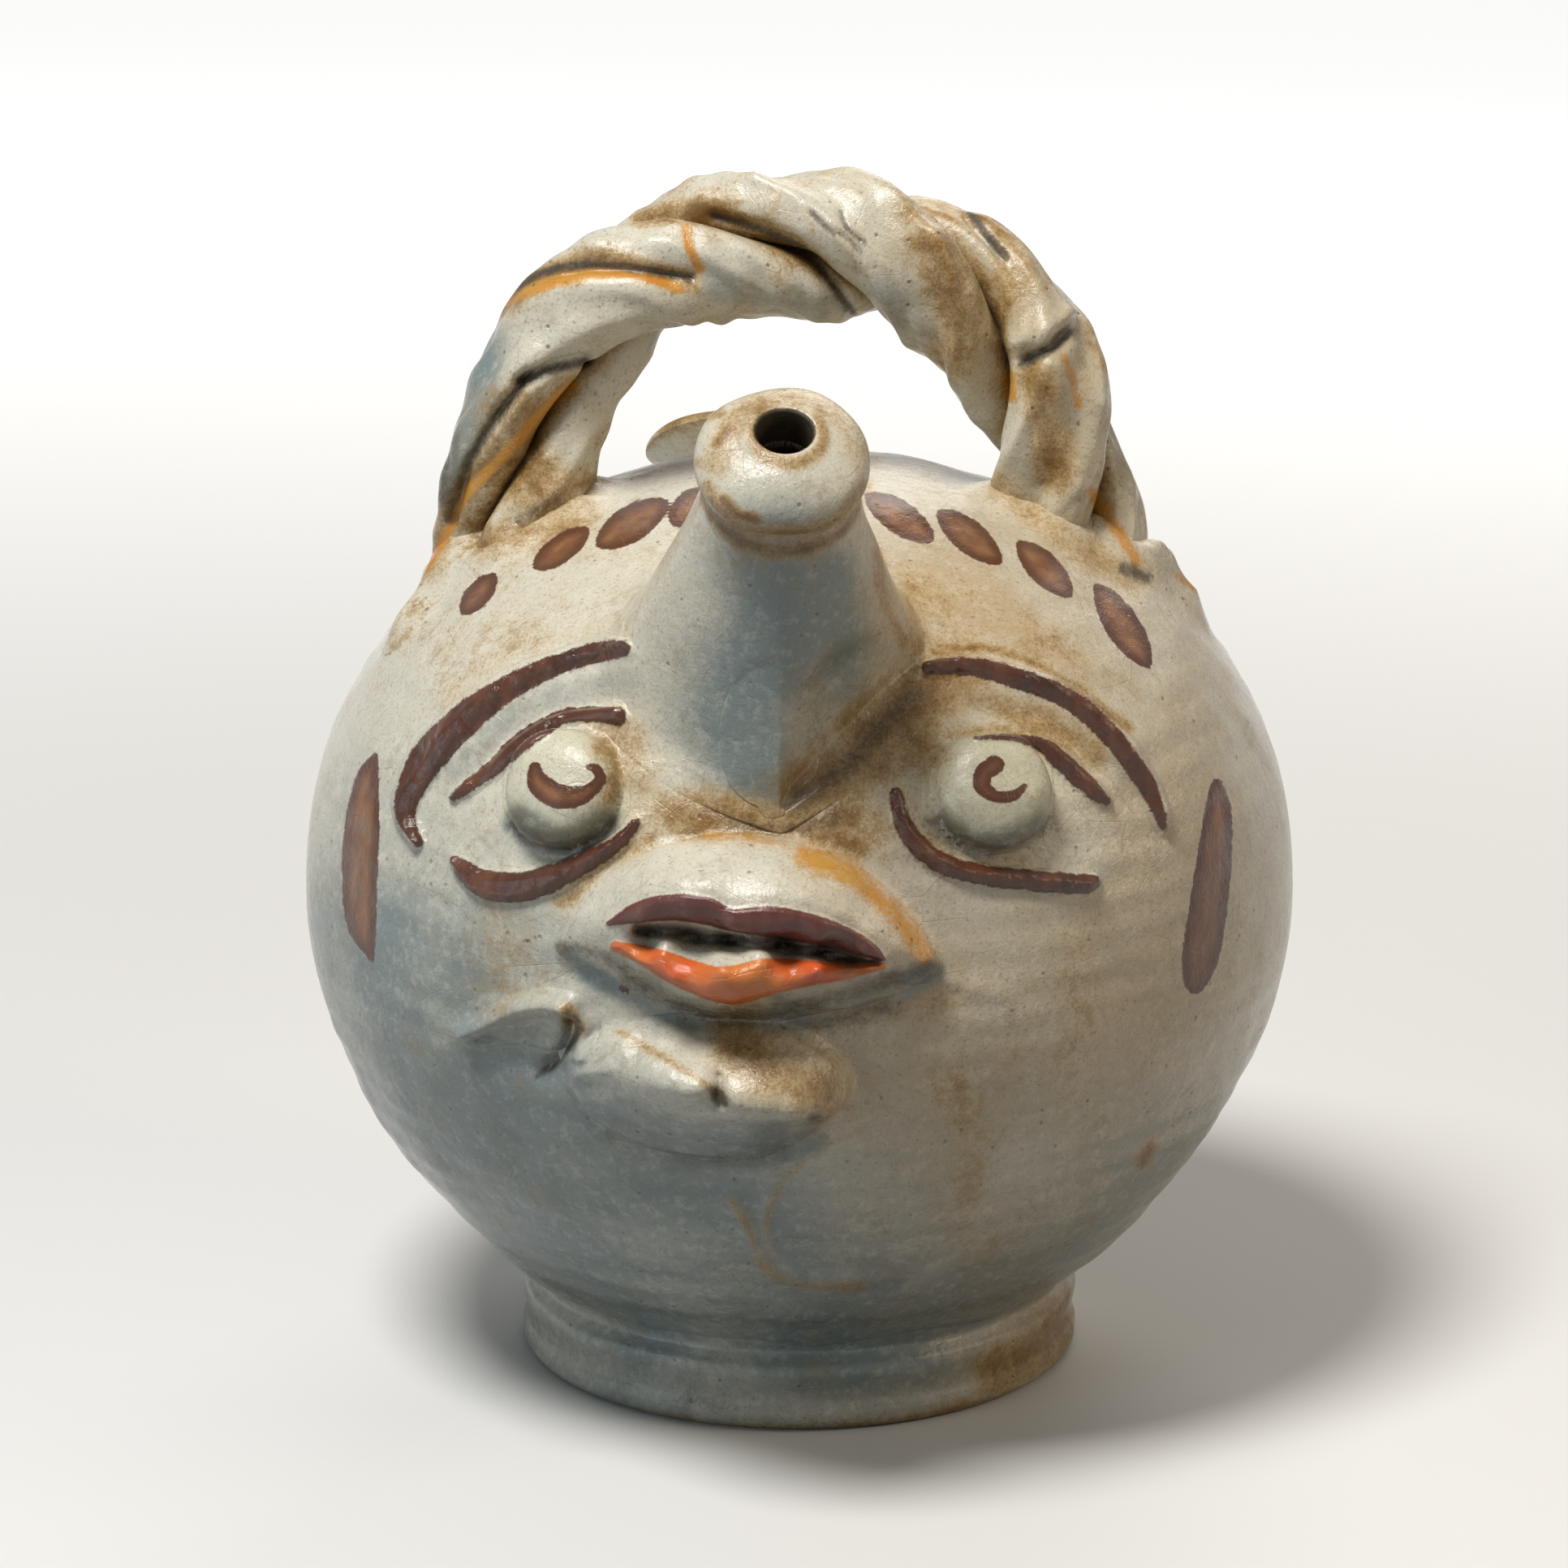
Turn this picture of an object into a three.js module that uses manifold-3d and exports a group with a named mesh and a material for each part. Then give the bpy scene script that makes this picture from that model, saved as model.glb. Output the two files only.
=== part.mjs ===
// Spouted jug in tin-glazed earthenware, made as a face: a thrown globe on a foot, with every feature
// luted on as its own piece of clay. Millimetres, +Z up, and the face looks along -Y.
// The origin is the centre of the foot's flat underside.
// A place on the face is given in millimetres of the globe's skin: across from the middle of the
// front, positive to the viewer's right, and up from the equator. A place behind the face is an
// azimuth, 0 at the front and positive to the right, and an elevation, both in degrees. A route is a
// list of places.
import * as THREE from "three";
import { mergeVertices } from "three/addons/utils/BufferGeometryUtils.js";
import Module from "manifold-3d";

const wasm = await Module();
wasm.setup();

// Joints between pieces
const SEAT_GAP = 0.3; // every luted piece clears its seat by this much

// Globe, a solid of revolution with a fuller crown and a leaner belly
const GLOBE_RADIUS = 109.2;
const EQUATOR_HEIGHT = 104.7;
const CROWN_RISE = 95.1;
const CROWN_FULLNESS = 2.2;
const BELLY_DROP = 108;
const BELLY_FULLNESS = 1.81;
const GLOBE_WALL = 6.5;
const GLOBE_SIDES = 40;
const GLOBE_RINGS = 17;

// Foot, a thrown pad with a cup that takes the belly
const FOOT_RADIUS = 62.3;
const FOOT_HEIGHT = 18.5;
const FOOT_FLOOR = 4.5;
const FOOT_CHAMFER = 1.8;
const FOOT_COVE = 2.4; // how far the side is drawn in under the belly
const FOOT_COVE_HEIGHT = 8.3;
const FOOT_COVE_STEPS = 4;

// Nose spout, a trumpet that leaves the brow and ends in a pierced knob
const SPOUT_PLACE = [-8.6, 83.9];
const SPOUT_PITCH = 55;
const SPOUT_YAW = 4;
const SPOUT_REACH = 57; // skin to knob centre
const SPOUT_BASE_RADIUS = 31.5;
const SPOUT_NECK_RADIUS = 14.6;
const SPOUT_FLARE = 1.4;
const SPOUT_RINGS = 9;
const FLARE_ROOT = 12; // a flare runs this far on into the shoulder, where it is trimmed
const FLARE_SPREAD = 0.5; // growth in radius for each millimetre of that root
const SPOUT_BORE_RADIUS = 6.1;
const SPOUT_THROAT_RADIUS = 13;
const BORE_DEPTH = 28; // how far a bore cuts in below the skin
const KNOB_RADIUS = 18.2;
const KNOB_HALF_THICKNESS = 9.4;
const KNOB_RINGS = 12;

// Nose bridge, the wad pressed down the front of the spout
const BRIDGE_START = 19; // down from the middle of the spout's foot
const BRIDGE_END = 42;
const BRIDGE_DRIFT = 1.9; // how far it wanders to the right on its way down
const BRIDGE_HALF_WIDTH = 9;
const BRIDGE_TOP_HEIGHT = 20;
const BRIDGE_TIP_HEIGHT = 3.5;
const BRIDGE_TAPER = 0.6; // share of its width that is gone at the tip

// Filling neck behind the handle
const NECK_AZIMUTH = -174;
const NECK_ELEVATION = 37;
const NECK_PITCH = 63;
const NECK_YAW = -160;
const NECK_LENGTH = 19;
const NECK_BASE_RADIUS = 37;
const NECK_WAIST_RADIUS = 16.5;
const NECK_WAIST_AT = 11; // height of the waist above the skin
const NECK_FLARE = 1.5;
const NECK_RINGS = 7;
const LIP_RADIUS = 24;
const LIP_THICKNESS = 4.2;
const LIP_FLARE = 1.7;
const LIP_RINGS = 3;
const NECK_BORE_RADIUS = 11.5;

// Handle, two strands laid round each other along an arch
const ARCH_OFFSET = -2;
const ARCH_HALF_SPAN = 62.5;
const ARCH_RISE = 98.5;
const ARCH_SPRING = 45; // springing of the arch above the equator, hidden inside the globe
const ARCH_FULLNESS = 2.65;
const STRAND_HALF_THICKNESS = 7.6;
const STRAND_HALF_WIDTH = 12.3;
const STRAND_SQUARENESS = 2.4;
const STRAND_LAY = [60, 180, 277, 456, 640, 780]; // turn of the strands at even steps, in degrees
const STRAND_RINGS = 48;
const STRAND_SIDES = 12;
const TAIL_HALF_WIDTH = 8.5;
const TAIL_HEIGHT = 5.5;
const TAIL_LEFT = [[-88, 48], [-85.5, 42], [-81, 35.5]];
const TAIL_RIGHT = [[86, 49], [88, 43], [91, 36]];

// Eyes, brows and lids
const EYE_RADIUS = 12.6;
const EYE_HEIGHT = 8.6;
const EYE_FULLNESS = 3;
const EYE_LEFT = [-55.8, 47.5];
const EYE_RIGHT = [44.4, 48.2];
const BROW_HALF_WIDTH = 3.6;
const BROW_HEIGHT = 2.6;
const BROW_LEFT = [[-62.9, 75.3], [-83.7, 64.4], [-97, 45], [-96.6, 27.6]];
const BROW_RIGHT = [[47.6, 73.4], [67.5, 66.1], [84.2, 49.4], [89.2, 33.4]];
const LID_HALF_WIDTH = 2.8;
const LID_HEIGHT = 1.6;
const UPPER_LID_LEFT = [[-52.4, 67.1], [-66.7, 63.8], [-79.1, 49.6], [-87.7, 40]];
const UPPER_LID_RIGHT = [[43.8, 66.3], [58.1, 60], [68.6, 49.6], [75.3, 41]];
const LOWER_LID_LEFT = [[-36.2, 41], [-45.7, 27.8], [-61, 22.9], [-81, 27.6]];
const LOWER_LID_RIGHT = [[21, 47.6], [24.8, 35.3], [39.5, 27.6], [65.8, 25.7]];

// Mouth, pinched forward to a beak, with a roll of clay for each lip
const MOUTH_PLACE = [-12.4, 21];
const MOUTH_ROLL = -4;
const MOUTH_HALF_WIDTH = 38;
const MOUTH_HALF_HEIGHT = 20;
const MOUTH_DEPTH = 15;
const MOUTH_FULLNESS = 1.8;
const MOUTH_CROWN = 0.75;
const LIP_SPAN = 26; // centre of the mouth to the end of a lip
const LIP_BULGE = 3.4;
const LIP_HALF_HEIGHT = 4.2;
const LIP_PARTING = 1.6; // half of the slit between the lips
const LIP_END = 0.25; // share of a lip's section that is left at its ends

// Chin and cheek
const CHIN_PLACE = [-19.1, -11.8];
const CHIN_HALF_WIDTH = 27;
const CHIN_HALF_HEIGHT = 14;
const CHIN_DEPTH = 11.5;
const CHIN_CROWN = 0.6;
const CHIN_OVERHANG = 0.25; // how much deeper the chin is at its lower edge than at its middle
const FOLD_HALF_WIDTH = 4;
const FOLD_HEIGHT = 2.6;
const FOLD_ROUTE = [[-73.4, -3.4], [-60.6, 0.4], [-51.8, -2.3], [-53.4, -9.1]];

// Rings and sides of the hand-formed pieces
const DAB_RINGS = 6;
const DAB_SIDES = 20;
const UNDER_RINGS = 3;
const POLE_SHARE = 0.03; // the last ring of a dab closes to this share of its outline
const COIL_RINGS = 18;
const COIL_SIDES = 8;
const COIL_END = 0.35; // share of a coil's section that is left at its ends
const TURNED_SIDES = 24;

const radians = THREE.MathUtils.degToRad;

// Distance from the globe's centre to its skin, grown by extra, at an elevation in radians.
function reach(elevation, extra) {
  const up = elevation > 0;
  const power = up ? CROWN_FULLNESS : BELLY_FULLNESS;
  const across = Math.cos(elevation) / (GLOBE_RADIUS + extra);
  const along = Math.abs(Math.sin(elevation)) / ((up ? CROWN_RISE : BELLY_DROP) + extra);
  return (across ** power + along ** power) ** (-1 / power);
}

const CENTRE = new THREE.Vector3(0, 0, EQUATOR_HEIGHT);

// Outward normal of the skin at one of its points.
function normalAt(skin) {
  const side = Math.hypot(skin.x, skin.y);
  const height = skin.z - EQUATOR_HEIGHT;
  const power = height > 0 ? CROWN_FULLNESS : BELLY_FULLNESS;
  const rise = height > 0 ? CROWN_RISE : BELLY_DROP;
  const radial = (side / GLOBE_RADIUS) ** (power - 1) / GLOBE_RADIUS;
  const upright = (Math.sign(height) * (Math.abs(height) / rise) ** (power - 1)) / rise;
  const turn = side > 0 ? radial / side : 0;
  return new THREE.Vector3(skin.x * turn, skin.y * turn, upright).normalize();
}

// The skin of the globe straight out from its centre through a point, then raised by lift.
function settle(point, lift = 0) {
  const ray = point.clone().sub(CENTRE);
  const elevation = Math.atan2(ray.z, Math.hypot(ray.x, ray.y));
  const skin = ray.setLength(reach(elevation, 0)).add(CENTRE);
  return lift ? skin.addScaledVector(normalAt(skin), lift) : skin;
}

// A unit direction from its azimuth and its pitch above level.
function heading(azimuth, pitch) {
  const a = radians(azimuth);
  const p = radians(pitch);
  return new THREE.Vector3(Math.cos(p) * Math.sin(a), -Math.cos(p) * Math.cos(a), Math.sin(p));
}

// A point of the skin, behind the face and on it.
const onGlobe = (azimuth, elevation) => settle(heading(azimuth, elevation).add(CENTRE));
const degrees = (arc) => THREE.MathUtils.radToDeg(arc / GLOBE_RADIUS);
const onFace = (across, up) => onGlobe(degrees(across), degrees(up));

// A frame at a point, with its Z along a direction and its Y as near upright as it can be.
function frameAt(point, direction) {
  const z = direction.clone().normalize();
  const x = new THREE.Vector3(0, 0, 1).cross(z).normalize();
  const y = z.clone().cross(x);
  return new THREE.Matrix4().makeBasis(x, y, z).setPosition(point);
}

// A frame on the face with its Z straight out, rolled about it by some degrees.
function faceFrame(place, roll = 0) {
  const point = onFace(...place);
  return frameAt(point, normalAt(point)).multiply(new THREE.Matrix4().makeRotationZ(radians(roll)));
}

// A closed geometry as a solid that can be joined and cut.
function solidOf(geometry) {
  const bare = geometry.clone();
  bare.deleteAttribute("normal");
  bare.deleteAttribute("uv");
  const merged = mergeVertices(bare, 1e-4);
  const vertProperties = merged.attributes.position.array;
  const triVerts = new Uint32Array(merged.index.array);
  return new wasm.Manifold(new wasm.Mesh({ numProp: 3, vertProperties, triVerts }));
}

// A solid as a geometry for its mesh.
function geometryOf(solid) {
  const { vertProperties, triVerts } = solid.getMesh();
  const geometry = new THREE.BufferGeometry();
  geometry.setAttribute("position", new THREE.BufferAttribute(new Float32Array(vertProperties), 3));
  geometry.setIndex(new THREE.BufferAttribute(new Uint32Array(triVerts), 1));
  return geometry;
}

// A solid with other solids cut away from it.
const clearOf = (solid, ...others) => others.reduce((rest, other) => rest.subtract(other), solid);

// A revolved solid about the Z axis of a frame, from a profile of [radius, height] pairs.
function turned(profile, frame = new THREE.Matrix4(), sides = TURNED_SIDES) {
  const points = profile.map(([radius, height]) => new THREE.Vector2(radius, height));
  const lathe = new THREE.LatheGeometry(points, sides).rotateX(Math.PI / 2);
  return solidOf(lathe.applyMatrix4(frame));
}

// Whether the triangles enclose a positive volume, which says that their faces point out.
function facesOut(positions, index) {
  const corner = (i) => new THREE.Vector3().fromArray(positions, 3 * index[i]);
  let volume = 0;
  for (let i = 0; i < index.length; i += 3) {
    volume += corner(i).dot(corner(i + 1).cross(corner(i + 2)));
  }
  return volume > 0;
}

// A closed skin over rings of points, with each end ring closed by a fan.
function lofted(pointAt, rings, sides) {
  const positions = [];
  const index = [];
  for (let i = 0; i <= rings; i++) {
    for (let j = 0; j < sides; j++) {
      positions.push(...pointAt(i / rings, j / sides).toArray());
    }
  }
  for (const ring of [0, rings]) {
    const middle = new THREE.Vector3();
    for (let j = 0; j < sides; j++) {
      middle.add(new THREE.Vector3().fromArray(positions, 3 * (ring * sides + j)));
    }
    positions.push(...middle.divideScalar(sides).toArray());
  }
  const start = (rings + 1) * sides;
  for (let j = 0; j < sides; j++) {
    const next = (j + 1) % sides;
    index.push(start, next, j);
    index.push(start + 1, rings * sides + j, rings * sides + next);
    for (let i = 0; i < rings; i++) {
      const near = i * sides;
      const far = near + sides;
      index.push(near + j, near + next, far + j);
      index.push(near + next, far + next, far + j);
    }
  }
  const geometry = new THREE.BufferGeometry();
  geometry.setAttribute("position", new THREE.Float32BufferAttribute(positions, 3));
  geometry.setIndex(facesOut(positions, index) ? index : index.reverse());
  return geometry;
}

// A dab of clay draped over the globe: a domed pad with a footprint and a height above the skin.
// outline(turn, grow) gives the footprint's edge in the frame, and height(x, y, grow) the rise
// inside it. grow swells the dab on all sides, for the seat that it leaves in a neighbour.
function dab(frame, outline, height, { rings = DAB_RINGS, sides = DAB_SIDES, grow = 0 } = {}) {
  return solidOf(
    lofted(
      (along, around) => {
        // The rings spread over the underside to the edge, and come back over the top.
        const step = along * (UNDER_RINGS + rings);
        const below = step <= UNDER_RINGS;
        const climb = (step - UNDER_RINGS) / rings;
        const spread = below ? step / UNDER_RINGS : Math.cos((Math.PI / 2) * climb);
        const edge = outline(2 * Math.PI * around, grow);
        const [x, y] = edge.map((value) => value * Math.max(POLE_SHARE, spread));
        const rise = below ? -2 * grow : height(x, y, grow) + grow;
        return settle(new THREE.Vector3(x, y, 0).applyMatrix4(frame), SEAT_GAP + rise);
      },
      UNDER_RINGS + rings,
      sides,
    ),
  );
}

// A coil of clay laid over the globe through some points of its skin, drawn out at its ends.
function coil(points, halfWidth, height, { rings = COIL_RINGS, sides = COIL_SIDES, grow = 0 } = {}) {
  const line = new THREE.CatmullRomCurve3(points);
  return solidOf(
    lofted(
      (along, around) => {
        const point = settle(line.getPointAt(along));
        const across = line.getTangentAt(along).cross(normalAt(point)).normalize();
        const swell = COIL_END + (1 - COIL_END) * Math.sin(Math.PI * along) ** 0.6;
        const turn = 2 * Math.PI * around;
        const side = point.addScaledVector(across, (halfWidth * swell + grow) * Math.cos(turn));
        const crown = Math.max(0, Math.sin(turn));
        const rise = crown ? height * swell * crown + grow : -2 * grow;
        return settle(side, SEAT_GAP + rise);
      },
      rings,
      sides,
    ),
  );
}

// Globe
const globeBed = FOOT_FLOOR + SEAT_GAP;

// Profile of the globe grown by extra, from its flat bed up to the crown.
function globeProfile(extra) {
  const bed = globeBed - extra;
  const profile = [[0, bed]];
  const drop = 1 - ((EQUATOR_HEIGHT - bed) / (BELLY_DROP + extra)) ** BELLY_FULLNESS;
  const bedRadius = (GLOBE_RADIUS + extra) * Math.max(0.02, drop) ** (1 / BELLY_FULLNESS);
  const start = Math.atan2(bed - EQUATOR_HEIGHT, bedRadius);
  for (let i = 0; i < GLOBE_RINGS; i++) {
    const elevation = start + ((Math.PI / 2 - start) * i) / GLOBE_RINGS;
    const distance = reach(elevation, extra);
    const height = EQUATOR_HEIGHT + distance * Math.sin(elevation);
    profile.push([distance * Math.cos(elevation), height]);
  }
  profile.push([0, EQUATOR_HEIGHT + CROWN_RISE + extra]);
  return profile;
}

const globeForm = (extra) => turned(globeProfile(extra), undefined, GLOBE_SIDES);
const globeSeat = globeForm(SEAT_GAP);

// Radius of a trumpet that widens from its waist to its base, and on below the skin.
function flareRadius(height, waistAt, waist, base, power) {
  if (height < 0) return base - FLARE_SPREAD * height;
  const below = Math.max(0, 1 - height / waistAt);
  return waist + (base - waist) * below ** power;
}

// Nose spout
const spoutFrame = frameAt(onFace(...SPOUT_PLACE), heading(SPOUT_YAW, SPOUT_PITCH));

const spoutRadius = (height) =>
  flareRadius(height, SPOUT_REACH, SPOUT_NECK_RADIUS, SPOUT_BASE_RADIUS, SPOUT_FLARE);

// The trumpet from its root to the knob's centre, grown by extra.
function spoutForm(extra) {
  const profile = [
    [0, -FLARE_ROOT],
    [spoutRadius(-FLARE_ROOT) + extra, -FLARE_ROOT],
  ];
  for (let i = 0; i <= SPOUT_RINGS; i++) {
    const height = (SPOUT_REACH * i) / SPOUT_RINGS;
    profile.push([spoutRadius(height) + extra, height]);
  }
  profile.push([0, SPOUT_REACH]);
  return turned(profile, spoutFrame);
}

// The knob is an oblate bead round the end of the spout.
function knobForm(extra) {
  const profile = [];
  for (let i = 0; i <= KNOB_RINGS; i++) {
    const turn = Math.PI * (i / KNOB_RINGS - 0.5);
    const radius = i % KNOB_RINGS ? (KNOB_RADIUS + extra) * Math.cos(turn) : 0;
    profile.push([radius, SPOUT_REACH + (KNOB_HALF_THICKNESS + extra) * Math.sin(turn)]);
  }
  return turned(profile, spoutFrame);
}

// The way for the liquid: wide in the shoulder, narrowing to the hole in the knob.
const knobTop = SPOUT_REACH + KNOB_HALF_THICKNESS;
const spoutBore = turned(
  [
    [0, -BORE_DEPTH],
    [SPOUT_THROAT_RADIUS, -BORE_DEPTH],
    [SPOUT_THROAT_RADIUS, 0],
    [SPOUT_BORE_RADIUS, SPOUT_REACH - KNOB_HALF_THICKNESS],
    [SPOUT_BORE_RADIUS, knobTop + KNOB_HALF_THICKNESS],
    [0, knobTop + KNOB_HALF_THICKNESS],
  ],
  spoutFrame,
);

const spoutSeat = spoutForm(SEAT_GAP);
const noseSpout = clearOf(spoutForm(0), globeSeat, knobForm(SEAT_GAP), spoutBore);
const spoutKnob = clearOf(knobForm(0), spoutBore);

// A ridge down the front of the spout's flare, lower and narrower towards its tip.
function bridgeForm() {
  return solidOf(
    lofted(
      (along, around) => {
        const { lerp } = THREE.MathUtils;
        const down = lerp(BRIDGE_START, BRIDGE_END, along);
        const point = onFace(SPOUT_PLACE[0] + BRIDGE_DRIFT * along, SPOUT_PLACE[1] - down);
        const swell = 1 - BRIDGE_TAPER * along ** 3;
        const height = lerp(BRIDGE_TOP_HEIGHT, BRIDGE_TIP_HEIGHT, along);
        const across = new THREE.Vector3(0, 0, 1).cross(normalAt(point)).normalize();
        const turn = 2 * Math.PI * around;
        point.addScaledVector(across, -BRIDGE_HALF_WIDTH * swell * Math.cos(turn));
        return settle(point, SEAT_GAP + height * swell * Math.max(0, Math.sin(turn)));
      },
      COIL_RINGS - DAB_RINGS,
      2 * COIL_SIDES,
    ),
  );
}

// Filling neck
const neckFrame = frameAt(onGlobe(NECK_AZIMUTH, NECK_ELEVATION), heading(NECK_YAW, NECK_PITCH));

// The neck's outer wall in its own frame, as its rings from the root up to the rolled lip. The foot
// of the wall follows the skin all round, and the flare is drawn up from there to the waist.
function neckRings(turn) {
  const [c, s] = [Math.cos(turn), Math.sin(turn)];
  const level = new THREE.Vector3(NECK_BASE_RADIUS * c, NECK_BASE_RADIUS * s, 0);
  const foot = settle(level.applyMatrix4(neckFrame)).applyMatrix4(neckFrame.clone().invert());
  const base = Math.hypot(foot.x, foot.y);
  const profile = [[base + FLARE_SPREAD * FLARE_ROOT, foot.z - FLARE_ROOT]];
  for (let i = 0; i < NECK_RINGS; i++) {
    const up = i / NECK_RINGS;
    const radius = NECK_WAIST_RADIUS + (base - NECK_WAIST_RADIUS) * (1 - up) ** NECK_FLARE;
    profile.push([radius, foot.z + (NECK_WAIST_AT - foot.z) * up]);
  }
  for (let i = 0; i <= LIP_RINGS; i++) {
    const up = i / LIP_RINGS;
    const radius = NECK_WAIST_RADIUS + (LIP_RADIUS - NECK_WAIST_RADIUS) * up ** LIP_FLARE;
    profile.push([radius, NECK_WAIST_AT + (NECK_LENGTH - NECK_WAIST_AT) * up]);
  }
  const lipRound = LIP_THICKNESS / 2;
  for (let i = 1; i <= LIP_RINGS; i++) {
    const a = (Math.PI * i) / (LIP_RINGS + 1);
    const radius = LIP_RADIUS - lipRound * (1 - Math.cos(a));
    profile.push([radius, NECK_LENGTH + lipRound * Math.sin(a)]);
  }
  return profile.map(([radius, height]) => new THREE.Vector3(radius * c, radius * s, height));
}

function neckForm() {
  const rings = neckRings(0).length - 1;
  const ring = (along, around) => neckRings(2 * Math.PI * around)[Math.round(along * rings)];
  const pointAt = (along, around) => ring(along, around).applyMatrix4(neckFrame);
  return solidOf(lofted(pointAt, rings, TURNED_SIDES));
}

const neckBore = turned(
  [
    [0, -BORE_DEPTH],
    [NECK_BORE_RADIUS, -BORE_DEPTH],
    [NECK_BORE_RADIUS, NECK_WAIST_AT],
    [LIP_RADIUS - LIP_THICKNESS, NECK_LENGTH],
    [LIP_RADIUS - LIP_THICKNESS, NECK_LENGTH + LIP_THICKNESS],
    [0, NECK_LENGTH + LIP_THICKNESS],
  ],
  neckFrame,
);
const fillingNeck = clearOf(neckForm(), globeSeat, neckBore);
const globeShell = clearOf(globeForm(0), globeForm(-GLOBE_WALL), spoutBore, neckBore);

// Foot
function footProfile() {
  const profile = [
    [0, 0],
    [FOOT_RADIUS - FOOT_CHAMFER, 0],
    [FOOT_RADIUS, FOOT_CHAMFER],
  ];
  for (let i = 0; i <= FOOT_COVE_STEPS; i++) {
    const turn = ((Math.PI / 2) * i) / FOOT_COVE_STEPS;
    const height = FOOT_HEIGHT - FOOT_COVE_HEIGHT * (1 - Math.sin(turn));
    profile.push([FOOT_RADIUS - FOOT_COVE * (1 - Math.cos(turn)), height]);
  }
  profile.push([0, FOOT_HEIGHT]);
  return profile;
}

const foot = clearOf(turned(footProfile(), undefined, GLOBE_SIDES), globeSeat);

// Handle: a squared arch in the plane of the ears, from the left shoulder to the right one.
class Arch extends THREE.Curve {
  getPoint(t, target = new THREE.Vector3()) {
    const turn = Math.PI * (1 - t);
    const power = 2 / ARCH_FULLNESS;
    const side = Math.sign(Math.cos(turn)) * Math.abs(Math.cos(turn)) ** power;
    const rise = Math.abs(Math.sin(turn)) ** power;
    const height = EQUATOR_HEIGHT + ARCH_SPRING + ARCH_RISE * rise;
    return target.set(ARCH_OFFSET + ARCH_HALF_SPAN * side, 0, height);
  }
}

const arch = new Arch();
const lay = new THREE.SplineCurve(
  STRAND_LAY.map((turn, i) => new THREE.Vector2(i / (STRAND_LAY.length - 1), turn)),
);
const FRONT = new THREE.Vector3(0, -1, 0);

// One strand of the twist: a flat roll of clay that lies off the arch on the side that turn picks,
// with its flat face towards the other strand. It is grown by extra.
function strandForm(turn, extra) {
  const rounded = (value) => Math.sign(value) * Math.abs(value) ** (2 / STRAND_SQUARENESS);
  return solidOf(
    lofted(
      (along, around) => {
        const outward = arch.getTangentAt(along).cross(FRONT).negate();
        const twist = radians(lay.getPoint(along).y + turn);
        const [c, s] = [Math.cos(twist), Math.sin(twist)];
        const away = outward.clone().multiplyScalar(c).addScaledVector(FRONT, s);
        const across = FRONT.clone().multiplyScalar(c).addScaledVector(outward, -s);
        const a = 2 * Math.PI * around;
        const thick = (STRAND_HALF_THICKNESS + extra) * rounded(Math.cos(a));
        const wide = (STRAND_HALF_WIDTH + extra) * rounded(Math.sin(a));
        return arch
          .getPointAt(along)
          .addScaledVector(away, SEAT_GAP + STRAND_HALF_THICKNESS + thick)
          .addScaledVector(across, wide);
      },
      STRAND_RINGS,
      STRAND_SIDES,
    ),
  );
}

// The ends of the strands are smeared down the shoulders as tails.
const strandSeats = [strandForm(0, SEAT_GAP), strandForm(180, SEAT_GAP)];
const tailCount = { rings: 2 * DAB_RINGS, sides: STRAND_SIDES };

function tail(route) {
  const points = route.map((place) => onGlobe(...place));
  return clearOf(coil(points, TAIL_HALF_WIDTH, TAIL_HEIGHT, tailCount), ...strandSeats);
}

// Face: footprints and rises of the dabs
const oval = (halfWidth, halfHeight) => (turn, grow) => [
  (halfWidth + grow) * Math.cos(turn),
  (halfHeight + grow) * Math.sin(turn),
];
const eyeOutline = oval(EYE_RADIUS, EYE_RADIUS);

function eyeRise(x, y, grow) {
  const spread = Math.min(1, Math.hypot(x, y) / (EYE_RADIUS + grow));
  return EYE_HEIGHT * Math.sqrt(1 - spread ** EYE_FULLNESS);
}

function mouthOutline(turn, grow) {
  const c = Math.cos(turn);
  const s = Math.sin(turn);
  const power = 2 / MOUTH_FULLNESS;
  return [
    (MOUTH_HALF_WIDTH + grow) * Math.sign(c) * Math.abs(c) ** power,
    (MOUTH_HALF_HEIGHT + grow) * Math.sign(s) * Math.abs(s) ** power,
  ];
}

// The beak is highest along the parting of the lips.
function mouthRise(x, y, grow = 0) {
  const u = x / (MOUTH_HALF_WIDTH + grow);
  const v = y / (MOUTH_HALF_HEIGHT + grow);
  const inside = Math.max(0, 1 - Math.abs(u) ** MOUTH_FULLNESS - Math.abs(v) ** MOUTH_FULLNESS);
  return MOUTH_DEPTH * inside ** MOUTH_CROWN;
}

const chinOutline = oval(CHIN_HALF_WIDTH, CHIN_HALF_HEIGHT);

// The chin is a ledge: it climbs gently from the mouth and drops steeply below its crest.
function chinRise(x, y, grow) {
  const u = x / (CHIN_HALF_WIDTH + grow);
  const v = y / (CHIN_HALF_HEIGHT + grow);
  const inside = Math.max(0, 1 - u * u - v * v);
  return CHIN_DEPTH * inside ** CHIN_CROWN * (1 - CHIN_OVERHANG * v);
}

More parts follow.
